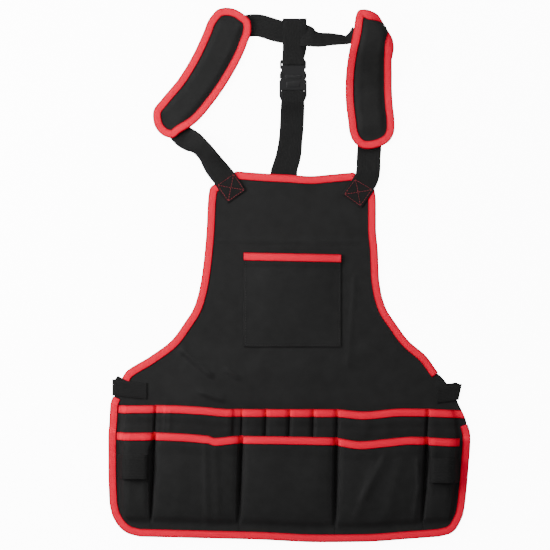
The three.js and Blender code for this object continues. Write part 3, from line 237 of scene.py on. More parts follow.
def crease(x, y, ax, ay, bx, by, width, height, lean):
    """A soft ridge along a line from a to b, a bell curve across it that fades at its ends. Lean makes the
    slope on its right steeper, or on its left where it is negative."""
    length = math.hypot(bx - ax, by - ay)
    along = ((x - ax) * (bx - ax) + (y - ay) * (by - ay)) / length
    side = ((x - ax) * (by - ay) - (y - ay) * (bx - ax)) / length
    reach = np.where(side * lean > 0, width * (1 - abs(lean)), width)
    ends = eased((along + width * 0.3) / width) * eased((length - along + width * 0.3) / width)
    return height * np.exp(-((side / (0.45 * reach)) ** 2)) * ends


def folds_of(folds, x, y):
    """The sum of a list of creases at a place."""
    return sum(crease(x, y, *fold) for fold in folds)


def belt_line(x):
    """The waist belt's middle behind the panel, a straight line from its left fold to its right one."""
    return BIB_TOP - APRON_HEIGHT * (BELT_DOWN + (x / HALF + 0.981) / 1.936 * BELT_DROP)


def panel_under(x, y):
    """The panel's underside over the table: on the webbing's thickness, with a rise over what is thicker, its
    folds, and a slow unevenness of a few tenths of a millimetre, which is a sum of sines."""
    z = UNDER + mound(x, y, BACK_X, belt_line(BACK_X), 18, 15, 60, 2.0)
    z = z + mound(x, y, BACK_X, BIB_TOP, 21, 16, 42, 1.5)
    z = z + mound(x, y, WAIST_BUCKLE_X, belt_line(WAIST_BUCKLE_X), 21, 13, 70, 3.4)
    slow = np.sin(x * 0.021 + 1.3) * np.sin(y * 0.026 + 0.4) + 0.6 * np.sin(x * 0.05 - y * 0.037)
    return z + folds_of(PANEL_FOLDS, x, y) + 0.22 * (slow + 1.6) * eased((BIB_TOP - y) / 60)


def panel_top(x, y):
    """The panel's upper face, one thickness of cloth over its underside."""
    return panel_under(x, y) + CLOTH


def rim_of(rows, columns):
    """The places round a grid's rim, as indices: down its first column, along its last row, up and back."""
    at = np.arange(rows * columns).reshape(rows, columns)
    return np.concatenate([at[:-1, 0], at[-1, :-1], at[:0:-1, -1], at[0, :0:-1]])


def inward_of(points, closed=True):
    """Unit vectors in the table's plane to the left of a line of points, halfway between its two legs."""
    if closed:
        ahead, behind = np.roll(points, -1, axis=0), np.roll(points, 1, axis=0)
    else:
        ahead = np.concatenate([points[1:], 2 * points[-1:] - points[-2:-1]])
        behind = np.concatenate([2 * points[:1] - points[1:2], points[:-1]])
    into = (points - behind) / np.linalg.norm(points - behind, axis=1, keepdims=True)
    out = (ahead - points) / np.linalg.norm(ahead - points, axis=1, keepdims=True)
    way = into + out
    way /= np.linalg.norm(way, axis=1, keepdims=True)
    return np.stack([-way[:, 1], way[:, 0]], axis=1)


def slab(name, over, under, material, uv=None):
    """A closed piece between an upper and a lower grid of points, with a strip of quads round its rim. The
    rows of both run down the table and their columns to the right."""
    rows, columns = over.shape[:2]
    n = rows * columns
    at = np.arange(n).reshape(rows, columns)
    quads = np.stack([at[:-1, :-1], at[1:, :-1], at[1:, 1:], at[:-1, 1:]], axis=-1).reshape(-1, 4)
    rim = rim_of(rows, columns)
    ahead = np.roll(rim, -1)
    wall = np.stack([rim, rim + n, ahead + n, ahead], axis=1)
    points = np.concatenate([over.reshape(-1, 3), under.reshape(-1, 3)])
    both = None if uv is None else np.tile(uv.reshape(-1, 2) * MM, (2, 1))
    return put_mesh(name, points, [quads, (quads + n)[:, ::-1], wall], material, both)


def walked_grid(across, low, axis):
    """The distance along each line of a grid in one direction, up and down its hills."""
    start = [np.take(values, [0], axis) for values in (across, low)]
    steps = [np.diff(values, axis=axis, prepend=first) for values, first in zip((across, low), start)]
    return np.cumsum(np.hypot(*steps), axis=axis)


def cloth_piece(name, x, y, low):
    """A closed sheet over a grid of places: its lower face is at low and its upper face a thickness above.
    UV is the distance along the cloth, across and down."""
    under = np.stack([x, y, low], axis=-1)
    uv = np.stack([walked_grid(x, low, 1) + x[:, :1], -walked_grid(y, low, 0)], axis=-1)
    return slab(name, under + (0, 0, CLOTH), under, coated_cloth, uv)


def placed(piece, slot, *nodes):
    """Rides a piece on the part's one body, and hides the CAD solids that it stands for. Its slot is not
    used.
    """
    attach(piece, "root")
    if nodes:
        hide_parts(*nodes)


def waves(tree, vector, direction, scale, **values):
    """Stripes across one direction of a surface, as a value from 0 to 1. The scale over 0.314 is their
    number in each metre."""
    wave = add_node(tree, "TexWave", Scale=scale, **values)
    wave.bands_direction = direction
    tree.links.new(vector, wave.inputs["Vector"])
    return wave.outputs["Fac"]


def joined(tree, operation, first, second):
    """The sum or the product of two values."""
    node = add_node(tree, "Math")
    node.operation = operation
    tree.links.new(first, node.inputs[0])
    tree.links.new(second, node.inputs[1])
    return node.outputs["Value"]


def relief(tree, shader, value, strength, distance):
    """Leads a value to a shader as its bump, of a strength and a depth in metres."""
    bump = add_node(tree, "Bump", Strength=strength, Distance=distance)
    tree.links.new(value, bump.inputs["Height"])
    tree.links.new(bump.outputs["Normal"], shader.inputs["Normal"])


def cloth_finish():
    """Black coated polyester: a fine plain weave in the bump, a faint mottle in the colour and in the
    gloss."""
    black = 0.009
    material, tree, shader = node_material("coated_cloth", 0.7, (black, black, black * 1.03), 0.13)
    place = add_node(tree, "TexCoord")
    threads = []
    for turn in (0.0, math.pi / 2):
        turned = add_node(tree, "Mapping", Rotation=(0, 0, turn))
        tree.links.new(place.outputs["UV"], turned.inputs["Vector"])
        threads.append(waves(tree, turned.outputs["Vector"], "X", 420.0, Distortion=0.6, Detail=1.0))
    relief(tree, shader, joined(tree, "MULTIPLY", *threads), 0.3, 0.00025)
    mottle = add_node(tree, "TexNoise", Scale=55.0, Detail=6.0)
    tree.links.new(place.outputs["Object"], mottle.inputs["Vector"])
    spread(tree, mottle.outputs["Fac"], black * 0.85, black * 1.18, shader.inputs["Base Color"], 0.3, 0.7)
    spread(tree, mottle.outputs["Fac"], 0.64, 0.8, shader.inputs["Roughness"])
    shader.inputs["Sheen Weight"].default_value = 0.015
    shader.inputs["Sheen Roughness"].default_value = 0.5
    return material


coated_cloth = cloth_finish()
down_rows = np.unique(np.concatenate([
    np.linspace(0, 0.06, 18), np.linspace(0.06, 0.9, 170), np.linspace(0.9, HEM_DOWN, 34), OUTLINE_DOWN,
]))
across_columns = np.linspace(0, 1, 150)
outer_x, outer_y = outline_point(down_rows[:, None], across_columns[None, :])
rim = rim_of(*outer_x.shape)
rim_line = np.stack([outer_x.ravel()[rim], outer_y.ravel()[rim]], axis=1)
rim_down = down_rows[rim // outer_x.shape[1]]
starts, ends = np.where(rim_line[:, :1] > 0, BARE[1], BARE[0]).T
bare = eased((rim_down - starts) / BARE_EASE) * eased((ends - rim_down) / BARE_EASE)
shift = inward_of(rim_line) * EDGE_ROOM * (1 - bare)[:, None]
inner_x, inner_y = outer_x.copy(), outer_y.copy()
inner_x.ravel()[rim] += shift[:, 0]
inner_y.ravel()[rim] += shift[:, 1]
body = cloth_piece("body_cloth", inner_x, inner_y, panel_under(inner_x, inner_y))
placed(body, "cloth", "body_panel")

# The binding tapes: 24 mm ribbed polyester tape in red, folded in half over every edge and stitched through.
# One runs round the bib down to the belt, and one round the skirt from under the belt.
TAPE = 12.0
TAPE_THICK = 1.0
# Half of the tape's section, from the front leg's edge to the fold: how far inward the outer face's points
# are and at what share of the thickness, and how far inward the inner face's are. The front leg dips at its
# row of stitches, 2 mm from its edge.
TAPE_OUTER = [12.2, 11.8, 10.8, 10.0, 9.2, 6.5, 3.6, 1.4, 0.3, -0.4]
TAPE_SHARE = [0.45, 0.92, 0.98, 0.74, 1.0, 1.12, 1.1, 0.92, 0.6, 0.1]
TAPE_INNER = [12.0, 11.8, 10.8, 10.0, 9.2, 6.5, 3.6, 1.8, 1.3, 1.0]
OUTER_TIP = -0.6
INNER_TIP = 1.0


def tape_finish():
    """Red polyester tape: fine ribs across it in the bump, and a ramp from one edge to the other in the
    colour, with painted shade at both edges, where the fold turns away and where the leg meets the cloth."""
    # Painted shade: near-black at the fold and at the inner edge, a shaded red just inside them, and the
    # tape's own red across its middle.
    edge, shaded_red, light = (0.26, 0.0002, 0.008, 1), (0.6, 0.0002, 0.022, 1), (0.74, 0.0003, 0.032, 1)
    material, tree, shader = node_material("binding_tape", 0.8, (0.6, 0.0003, 0.024), 0.05)
    place = add_node(tree, "TexCoord")
    split = add_node(tree, "SeparateXYZ")
    tree.links.new(place.outputs["UV"], split.inputs["Vector"])
    painted_shade_ramp = add_node(tree, "ValToRGB")
    stops = painted_shade_ramp.color_ramp.elements
    for stop, spot in zip(stops, (0.0, 1.0)):
        stop.position = spot
        stop.color = edge
    for spot, shade in ((0.1, shaded_red), (0.3, light), (0.7, light), (0.9, shaded_red)):
        stops.new(spot).color = shade
    spread(tree, split.outputs["Y"], 0.0, 1.0, painted_shade_ramp.inputs["Fac"], 0.0, TAPE * MM)
    tree.links.new(painted_shade_ramp.outputs["Color"], shader.inputs["Base Color"])
    relief(tree, shader, waves(tree, place.outputs["UV"], "X", 300.0, Distortion=0.3), 0.4, 0.0004)
    return material


def tube_faces(stations, size, loop, turned=False):
    """Quads round a tube of stations by profile points, and a strip over each of its two ends, or from its
    last station to its first where it is a loop. Turned has them face the other way."""
    at = np.arange(stations * size).reshape(stations, size)
    ahead = np.roll(at, -1, axis=1)
    joints = [(slice(None, -1), slice(1, None))] + [([-1], [0])] * loop
    faces = []
    for here, there in joints:
        quad = [at[here], ahead[here], ahead[there], at[there]]
        faces.append(np.stack(quad[:1] + quad[:0:-1] if turned else quad, axis=-1).reshape(-1, 4))
    k = np.arange(size // 2 - 1)
    for row, turn in ((at[0], -1), (at[-1], 1)):
        strip = np.stack([row[k], row[k + 1], row[size - 2 - k], row[size - 1 - k]], axis=1)
        if not loop:
            faces.append(strip[:, ::-turn if turned else turn])
    return faces


def tape_face(depths, shares, tip):
    """A face of the folded tape as rows of depth inward, level and share of the thickness. The level is 1
    on the front leg, 0 at the fold's tip and -1 on the back leg."""
    legs = len(depths)
    depth = np.concatenate([depths, [tip], depths[::-1]])
    share = np.concatenate([shares, [0], shares[::-1]])
    return np.stack([depth, np.repeat([1, 0, -1], [legs, 1, legs]), share], axis=1)


def tape_piece(name, place, stack, along, loop=False, gap=GAP, bend=None):
    """A tape from stations by profile points: place(d) gives every station's x and y at a distance inward,
    and stack(x, y) the underside and the depth of the cloth inside it. The front leg lies on the cloth and
    the back leg under it, a gap away. UV is the distance along the tape and inward."""
    outside, inside = tape_face(TAPE_OUTER, TAPE_SHARE, OUTER_TIP), tape_face(TAPE_INNER, [0] * 10, INNER_TIP)
    depth, level, share = np.concatenate([outside, inside[::-1]]).T
    x, y = place(depth)
    low, deep = stack(x, y)
    front = low + deep + gap + TAPE_THICK * share
    back = low - gap - TAPE_THICK * share
    z = np.where(level == 1, front, np.where(level == -1, back, low + deep / 2))
    points = bend(x, y, z) if bend else np.stack([x, y, z], axis=-1)
    uv = np.stack([along[:, None] + 0 * x, np.abs(depth)[None, :] + 0 * x], axis=-1)
    faces = tube_faces(*x.shape, loop)
    return put_mesh(name, points.reshape(-1, 3), faces, red_tape, uv.reshape(-1, 2) * MM)


def walked(points):
    """The distance along a line of points."""
    return np.concatenate([[0], np.cumsum(np.linalg.norm(np.diff(points, axis=0), axis=1))])


def edge_tape(name, line, cloth_depth):
    """A tape round the panel's edge: its legs lie on the panel's own faces, the front one over the sewn
    cloth."""
    side = inward_of(line, closed=False)

    def place(depth):
        """A distance inward from the line."""
        return line[:, :1] + side[:, :1] * depth, line[:, 1:] + side[:, 1:] * depth

    def stack(x, y):
        """The panel's underside everywhere, and the depth of cloth at the station's own edge."""
        return panel_under(x, y), cloth_depth(x[:, :1], y[:, :1])

    return tape_piece(name, place, stack, walked(line))


def side_line(column, start, end):
    """The outline's points down one side, between two shares of the height, in even steps."""
    rows = np.linspace(start, end, 150)
    return np.stack(outline_point(rows, np.full(len(rows), float(column))), axis=1)


red_tape = tape_finish()
top_line = np.stack([outer_x[0], outer_y[0]], axis=1)
hem_line = np.stack([outer_x[-1], outer_y[-1]], axis=1)
bib_line = np.concatenate([side_line(1, 0, 0.543)[::-1], top_line[1:-1][::-1], side_line(0, 0, 0.5585)])
bib_tape = edge_tape("bib_tape", bib_line, lambda x, y: CLOTH + 0 * x)
placed(bib_tape, "tape", "bib_binding")

# The pockets: two rows of the same cloth sewn across the skirt, the upper one behind the lower one. Both are
# divided by the same four seams, and the upper left one has a pleat at each side.
UPPER_PUFF = 7.5
LOWER_PUFF = 9.0
TAPE_ROOM = 1.9
SEAM_TOP = BIB_TOP - APRON_HEIGHT * 0.64
SEAM_FOOT = BIB_TOP - APRON_HEIGHT * 0.99
UPPER_MOUTH = [
    [-1, -0.67, -0.49, -0.33, 0.25, 0.41, 0.62, 0.77, 1],
    [0.632, 0.631, 0.635, 0.641, 0.642, 0.648, 0.64, 0.641, 0.647],
]
LOWER_MOUTH = [
    [-1, -0.728, -0.45, -0.41, -0.294, 0.228, 0.394, 0.533, 0.672, 0.856, 1],
    [0.704, 0.704, 0.712, 0.718, 0.713, 0.717, 0.727, 0.721, 0.715, 0.719, 0.722],
]
SEAMS = [(-0.741, -0.772), (-0.261, -0.283), (0.262, 0.25), (0.768, 0.733)]
# Across a pocket: a share of its width over the share of its puff there.
SIDE_POCKET = [[0, 0.22, 0.34, 0.5, 0.8, 0.93, 0.97, 1], [0, 0, 0.8, 1, 1, 0.86, 0.68, 0]]
PLEATED_POCKET = [
    [0, 0.018, 0.05, 0.085, 0.1, 0.118, 0.17, 0.5, 0.83, 0.882, 0.9, 0.915, 0.95, 0.982, 1],
    [0, 0.34, 0.46, 0.5, 0.62, 0.9, 1, 1.02, 1, 0.9, 0.62, 0.5, 0.46, 0.34, 0],
]
PLAIN_POCKET = [
    [0, 0.013, 0.023, 0.042, 0.1, 0.2, 0.5, 0.8, 0.9, 0.958, 0.977, 0.987, 1],
    [0, 0.03, 0.55, 0.78, 0.93, 1, 1.03, 1, 0.93, 0.78, 0.55, 0.03, 0],
]
SLOTS = 4
ONE_SLOT = [[0, 0.07, 0.2, 0.5, 0.8, 0.93], [0, 0.55, 0.86, 0.96, 0.86, 0.55]]
TOOL_SLOTS = [
    [(k + share) / SLOTS for k in range(SLOTS) for share in ONE_SLOT[0]] + [1],
    ONE_SLOT[1] * SLOTS + [0],
]
# Up a pocket, from the hem (0) past the lower mouth (1) to the upper mouth (2): the share of the puff, and
# how much of TAPE_ROOM is left under the seams.
UPPER_RISE = [[0, 0.12, 0.2, 0.4, 0.6, 0.8, 1, 1.66, 2], [0, 0, 0.35, 0.65, 0.82, 0.9, 0.93, 1, 1]]
UPPER_ROOM = [[0, 1.35, 1.66, 2], [0, 0, 1, 1]]
LOWER_RISE = [[0, 0.12, 0.2, 0.4, 0.6, 0.8, 0.91, 1], [0, 0, 0.35, 0.72, 0.9, 0.97, 1, 1]]
LOWER_ROOM = [[0, 0.8, 0.91, 1], [0, 0, 1, 1]]
# Up a lower side pocket, how far in millimetres its gape reaches from its inner seam, and its width.
SIDE_GAPE = [[0, 0.15, 0.6, 0.82, 0.93, 1], [1, 1.5, 7, 8.5, 4, 3]]
SIDE_WIDTH = 75
# The photo's folds in the pockets' cloth, as in PANEL_FOLDS.
LOWER_FOLDS = [
    (-134, -262, -131, -405, 15, 1.5, 0.3),
    (-118, -268, -112, -400, 17, 1.3, -0.2),
    (-170, -285, -178, -395, 26, 0.9, 0.0),
    (-30, -280, -36, -400, 40, 0.8, 0.0),
    (40, -290, 44, -390, 34, 0.7, 0.0),
    (154, -282, 113, -362, 20, 1.9, 0.45),
    (134, -300, 104, -392, 22, 1.5, 0.4),
    (180, -286, 150, -400, 26, 1.3, 0.2),
    (203, -290, 206, -350, 13, 1.6, 0.3),
    (206, -335, 196, -398, 13, 1.4, 0.3),
    (-222, -292, -236, -380, 22, 0.9, 0.0),
    (240, -330, 232, -385, 24, 0.9, 0.0),
]
UPPER_FOLDS = [
    (-200, -214, -202, -262, 9, 0.9, 0.3),
    (-190, -214, -191, -260, 8, 0.8, 0.0),
    (-96, -214, -96, -262, 12, 1.0, 0.0),
    (118, -214, 124, -262, 16, 0.9, 0.0),
    (160, -214, 156, -262, 16, 0.8, 0.0),
]


def side_inside(column, y):
    """The panel's cloth at its first or last column, at a height."""
    return np.interp(-y, -inner_y[:, column], inner_x[:, column])


def mouth_y(mouth, x):
    """The top of a row's cloth, inside its tape."""
    return BIB_TOP - APRON_HEIGHT * through(*mouth, x / HALF) - EDGE_ROOM


def levels(x):
    """The heights of the hem, the lower mouth and the upper mouth at a place across."""
    return np.interp(x, inner_x[-1], inner_y[-1]), mouth_y(LOWER_MOUTH, x), mouth_y(UPPER_MOUTH, x)


def cell_x(cell, across, y):
    """The place across a pocket at a height, between the straight seams or the panel's edges beside it."""
    drop = (SEAM_TOP - y) / (SEAM_TOP - SEAM_FOOT)
    seams = [HALF * (top + (foot - top) * drop) for top, foot in SEAMS]
    low = seams[cell - 1] + GAP / 2 if cell else side_inside(0, y)
    high = seams[cell] - GAP / 2 if cell < len(SEAMS) else side_inside(-1, y)
    return low + (high - low) * across


def lattice(cell, across, up):
    """The place of a share across and a share up in a pocket, found by going to and fro between the two."""
    x = cell_x(cell, across, SEAM_TOP)
    for _ in range(7):
        hem, lower, upper = levels(x)
        y = np.where(up <= 1, hem + (lower - hem) * up, lower + (upper - lower) * (up - 1))
        x = cell_x(cell, across, y)
    return x, y


def up_at(x, y):
    """The share up at a place: 0 at the hem, 1 at the lower mouth and 2 at the upper mouth."""
    hem, lower, upper = levels(x)
    return np.where(y <= lower, (y - hem) / (lower - hem), 1 + (y - lower) / (upper - lower))


def seam_room(room, up):
    """The space under a row's cloth along its seams."""
    return GAP + (TAPE_ROOM - GAP) * through(*room, up)


def upper_under(x, y, lift, up):
    """The underside of the upper row's cloth: over the panel by the seams' room, and by the share lift of the
    pocket's puff and folds."""
    puff = through(*UPPER_RISE, up) * UPPER_PUFF + eased((up - 1) / 0.3) * folds_of(UPPER_FOLDS, x, y)
    return panel_top(x, y) + seam_room(UPPER_ROOM, up) + lift * puff


def lower_under(x, y, lift, up):
    """The underside of the lower row's cloth, in the same way over the upper row's own puff."""
    puff = through(*UPPER_RISE, up) * UPPER_PUFF + through(*LOWER_RISE, up) * LOWER_PUFF
    low = panel_top(x, y) + seam_room(UPPER_ROOM, up) + CLOTH + seam_room(LOWER_ROOM, up)
    return low + lift * (puff + folds_of(LOWER_FOLDS, x, y) * eased(up / 0.3))


def mirrored(profile):
    """A profile turned round, for the pocket on the other side."""
    return [[1 - share for share in profile[0][::-1]], profile[1][::-1]]


def columns_of(profile, count):
    """Shares across a pocket: even ones, and the profile's own with one more on each side, where it bends."""
    keys = np.array(profile[0])
    near = np.concatenate([keys, keys + 0.006, keys - 0.006])
    every = np.concatenate([np.linspace(0, 1, count), near[(near > 0) & (near < 1)], [0, 1]])
    return np.unique(np.round(every, 4))


def side_gap(cell, across, up):
    """The share of its puff that a lower side pocket keeps near its inner seam, where it gapes: almost nought
    within a fifth of the gape's reach, and the whole from there on. The other pockets keep it all."""
    if cell not in (0, len(SEAMS)):
        return 1
    away = (across if cell else 1 - across) * SIDE_WIDTH
    reach = through(*SIDE_GAPE, np.minimum(up, 1))
    return 0.06 + 0.94 * eased((away / reach - 0.2) / 0.8)


def pocket_piece(name, cell, profile, top, under, count):
    """One pocket's cloth from its mouth down to the hem. Returns it with its columns."""
    across = columns_of(profile, count)
    up = np.unique(np.concatenate([np.linspace(0, top, 64), np.linspace(top - 0.1, top, 8)]))[::-1]
    x, y = lattice(cell, across[None, :], up[:, None])
    lift = through(*profile, across)[None, :] + 0 * x
    if top == 1:
        lift = lift * side_gap(cell, across[None, :], up[:, None])
    return cloth_piece(name, x, y, under(x, y, lift, up[:, None] + 0 * x)), across


def mouth_tape(name, cells, top, mouth, under, insets):
    """The tape along a row's mouths, from an inset at its left end to one at its right end: down the front
    and the back of the cloth by the tape's width."""
    spots, lifts = [], []
    for cell, (across, profile) in enumerate(cells):
        width = cell_x(cell, 1.0, SEAM_TOP) - cell_x(cell, 0.0, SEAM_TOP)
        low = insets[0] / width if cell == 0 else 0
        high = 1 - insets[1] / width if cell == len(SEAMS) else 1
        spots.append(np.concatenate([[low], across[(across > low) & (across < high)], [high]]))
        lifts.append(through(*profile, spots[-1]))
    shares, lift = np.concatenate(spots)[:, None], np.concatenate(lifts)[:, None]
    cell_of = np.repeat(np.arange(len(cells)), [len(spot) for spot in spots])[:, None]
    mouth_x = np.concatenate([lattice(k, spot, top)[0] for k, spot in enumerate(spots)])
    line_y = mouth_y(mouth, mouth_x)[:, None]

    def by_cell(value):
        """A value at every station, worked out with its own pocket."""
        return np.select([cell_of == k for k in range(len(cells))], [value(k) for k in range(len(cells))])

    def place(depth):
        """A distance down from the tape's fold, between the pocket's seams."""
        y = line_y + EDGE_ROOM - depth[None, :]
        return by_cell(lambda k: cell_x(k, shares, y)), y

    def stack(x, y):
        """The pocket's cloth, with the lower side pockets' gape in it."""
        up = np.minimum(up_at(x, y), top)
        kept = 1 if top > 1 else by_cell(lambda k: side_gap(k, shares, up) + 0 * up)
        return under(x, y, lift * kept + 0 * x, up), CLOTH

    return tape_piece(name, place, stack, walked(np.stack([mouth_x, line_y[:, 0]], axis=1)))


ROWS = [
    {
        "row": "upper", "top": 2, "mouth": UPPER_MOUTH, "under": upper_under, "insets": (12, 0),
        "cells": [
            ("pocket_left_side", SIDE_POCKET, 40), ("pocket_left", PLEATED_POCKET, 60),
            ("tool_slots", TOOL_SLOTS, 90), ("pocket_right", PLAIN_POCKET, 60),
            ("pocket_right_side", mirrored(SIDE_POCKET), 40),
        ],
    },
    {
        "row": "lower", "top": 1, "mouth": LOWER_MOUTH, "under": lower_under, "insets": (12, 12),
        "cells": [
            ("pocket_left_side", SIDE_POCKET, 40), ("pocket_left", PLAIN_POCKET, 70),
            ("pocket_middle", PLAIN_POCKET, 60), ("pocket_right", PLAIN_POCKET, 70),
            ("pocket_right_side", mirrored(SIDE_POCKET), 40),
        ],
    },
]
for row in ROWS:
    made = []
    for cell, (label, profile, count) in enumerate(row["cells"]):
        name = f"{row['row']}_{label}"
        node = label if label == "tool_slots" else name
        piece, across = pocket_piece(f"{name}_cloth", cell, profile, row["top"], row["under"], count)
        placed(piece, "cloth", node)
        made.append((across, profile))
    tape = mouth_tape(f"{row['row']}_mouth_tape", made, row["top"], row["mouth"], row["under"], row["insets"])
    placed(tape, "tape", f"{row['row']}_pocket_binding")

# The skirt's tape is folded over the panel's edge and the ends of both pocket rows. Its front leg climbs a
# little above each mouth, from the panel's cloth to the pockets', and sinks again where the rows are sewn
# down.
EARLY = 6.5


def skirt_stack(x, y):
    """The sewn cloth inside the skirt's tape: the panel, and below each mouth one more layer and its room."""
    depth = CLOTH + 0 * x
    for mouth in (UPPER_MOUTH, LOWER_MOUTH):
        below = mouth_y(mouth, x) - y
        layer = CLOTH + TAPE_ROOM + (GAP - TAPE_ROOM) * eased((below - 15) / 17)
        depth = depth + layer * eased((below + EARLY) / (EARLY - 1))
    return depth


skirt_line = np.concatenate([
    side_line(0, 0.607, HEM_DOWN)[:-1], hem_line, side_line(1, 0.682, HEM_DOWN)[::-1][1:],
])
skirt_tape = edge_tape("skirt_tape", skirt_line, skirt_stack)
placed(skirt_tape, "tape", "skirt_binding")

# The chest pocket: a square patch of the same cloth, sewn to the bib on three sides, with a taped mouth.
# It lies almost flat, with a soft swell in its middle.
CHEST_WIDTH = 155.0
CHEST_DEPTH = 150.0
CHEST_PUFF = 6.5
CHEST_X = 0.017 * HALF
CHEST_TOP = BIB_TOP - 0.2195 * APRON_HEIGHT
CHEST_FOOT = CHEST_TOP - CHEST_DEPTH
CHEST_TILT = 0.02
CHEST_PROFILE = [[0, 0.05, 0.14, 0.3, 0.5, 0.7, 0.86, 0.95, 1], [0, 0.1, 0.4, 0.85, 1, 0.85, 0.4, 0.1, 0]]
CHEST_RISE = [[0, 0.05, 0.15, 0.35, 0.6, 0.85, 1], [0, 0.08, 0.25, 0.5, 0.78, 0.97, 1]]
CHEST_ROOM = [[0, 0.85, 0.91, 1], [0, 0, 1, 1]]
CHEST_FOLDS = [
    (-60, -10, 66, -12, 26, 0.6, 0.0),
    (56, 22, 60, -110, 18, 0.7, 0.3),
    (-40, 20, -46, -100, 30, 0.5, 0.0),
]


def chest_place(across, y):
    """A place across the patch, whose sides stand upright."""
    return CHEST_X + CHEST_WIDTH * (across - 0.5) + 0 * y


def chest_top(across):
    """The top of the patch's cloth, which slants down a little to the right."""
    return CHEST_TOP - EDGE_ROOM - CHEST_TILT * CHEST_WIDTH * across


def chest_under(x, y, across):
    """The underside of the patch's cloth, over the panel by its seams' room and its puff."""
    up = np.clip((y - CHEST_FOOT) / (chest_top(across) - CHEST_FOOT), 0, 1)
    lift = through(*CHEST_PROFILE, across) * through(*CHEST_RISE, up)
    return panel_top(x, y) + seam_room(CHEST_ROOM, up) + lift * (CHEST_PUFF + folds_of(CHEST_FOLDS, x, y))


def chest_tape_place(depth):
    """The tape's places from its fold down the patch."""
    y = chest_top(chest_across)[:, None] + EDGE_ROOM - depth[None, :]
    return chest_place(chest_across[:, None], y), y


def chest_tape_stack(x, y):
    """The patch's cloth inside the tape."""
    return chest_under(x, y, chest_across[:, None] + 0 * x), CLOTH


chest_across = columns_of(CHEST_PROFILE, 60)
chest_up = np.unique(np.concatenate([np.linspace(0, 1, 60), np.linspace(0, 0.1, 10)]))[::-1, None]
chest_y = CHEST_FOOT + (chest_top(chest_across)[None, :] - CHEST_FOOT) * chest_up
chest_x = chest_place(chest_across[None, :], chest_y)
chest_low = chest_under(chest_x, chest_y, chest_across[None, :] + 0 * chest_x)
chest = cloth_piece("chest_pocket_cloth", chest_x, chest_y, chest_low)
placed(chest, "cloth", "chest_pocket")
chest_tape = tape_piece("chest_mouth_tape", chest_tape_place, chest_tape_stack, CHEST_WIDTH * chest_across)
placed(chest_tape, "tape", "chest_pocket_binding")

# The hammer loops: a length of black woven webbing over each lower side pocket, sewn down at both ends and
# standing open between them.
LOOP_WIDTH = 39.0
LOOP_RISE = 7.0
LOOP_UP = 0.68
LOOP_FROM, LOOP_TO = 0.2, 0.9
# One face of webbing: shares of half its width over shares of half its thickness.
RIBBON_ACROSS = np.array([-1, -0.985, -0.955, -0.6, 0, 0.6, 0.955, 0.985, 1])
RIBBON_FACE = np.array([0.35, 0.8, 1, 0.96, 0.95, 0.96, 1, 0.8, 0.35])


def webbing_finish():
    """Black woven webbing: ribs across it every 1.6 mm and rows of warp along it every 2.5 mm, in the bump
    and faintly in the colour."""
    material, tree, shader = node_material("woven_webbing", 0.8, (0.0085, 0.0085, 0.009), 0.12)
    place = add_node(tree, "TexCoord").outputs["UV"]
    ribs = waves(tree, place, "Y", 196.0, Distortion=0.4, Detail=1.0)
    warp = waves(tree, place, "X", 126.0, Distortion=0.4, Detail=1.0)
    both = joined(tree, "ADD", ribs, warp)
    relief(tree, shader, both, 0.35, 0.0004)
    spread(tree, both, 0.0055, 0.0105, shader.inputs["Base Color"], 0.0, 2.0)
    return material


def unit(v):
    """Vectors brought to a length of 1."""
    return v / np.linalg.norm(v, axis=-1, keepdims=True)


def ribbon_piece(name, at, side, face, width, node, loop=False, thick=WEBBING_THICK):
    """Webbing along a line of middles, with unit vectors to its edge and out of its face at each: its
    points are a middle, plus a share of half the width to the edge, plus a share of half the thickness out
    of the face."""
    u = np.concatenate([RIBBON_ACROSS, RIBBON_ACROSS[::-1]])
    v = np.concatenate([RIBBON_FACE, -RIBBON_FACE[::-1]])
    wide, deep = (np.broadcast_to(size, len(at))[:, None, None] for size in (width, thick))
    across = side[:, None, :] * (u / 2)[None, :, None] * wide
    points = at[:, None, :] + across + face[:, None, :] * (v / 2)[None, :, None] * deep
    along = np.repeat(walked(at)[:, None], len(u), axis=1)
    uv = np.stack([u[None, :] / 2 * wide[:, :, 0], along], axis=-1).reshape(-1, 2) * MM
    faces = tube_faces(len(at), len(u), loop, turned=True)
    placed(put_mesh(name, points.reshape(-1, 3), faces, woven, uv), "webbing", node)


woven = webbing_finish()
for cell, profile, node in (
    (0, SIDE_POCKET, "hammer_loop_left"), (len(SEAMS), mirrored(SIDE_POCKET), "hammer_loop_right"),
):
    share = np.linspace(LOOP_FROM, LOOP_TO, 70)
    across = 1 - share[::-1] if cell else share
    x, y = lattice(cell, across, np.full(len(across), LOOP_UP))
    middle, half_span = (LOOP_FROM + LOOP_TO) / 2, (LOOP_TO - LOOP_FROM) / 2
    arch = np.sqrt(np.clip(1 - ((share - middle) / half_span) ** 2, 0, 1))
    z = lower_under(x, y, through(*profile, across), np.full(len(x), LOOP_UP + 0.1))
    at = np.stack([x, y, z + CLOTH + 2 * GAP + LOOP_RISE * arch + WEBBING_THICK / 2], axis=1)
    side = np.tile([0.0, 1.0, 0.0], (len(at), 1))
    face = unit(np.cross(unit(np.gradient(at, axis=0)), side))
    ribbon_piece(f"{node}_webbing", at, side, face, LOOP_WIDTH, node)

# The shoulder pads: two long padded pieces of the same cloth with round ends, bound all round in red tape.
# The left one lies flat and slants out, and the right one stands up at its top, where its outer corner
# curls over.
HARNESS_RISE = 262.0
PAD_TOP = BIB_TOP + HARNESS_RISE
PAD_LENGTH = 225.0
PAD_WIDTH = 70.0
PAD_THICK = 8.0
PAD_UNDER = WEBBING_THICK + GAP
PAD_GAP = 2 * GAP
FLANGE = 3.0
FLANGE_UNDER = PAD_UNDER + TAPE_THICK + PAD_GAP
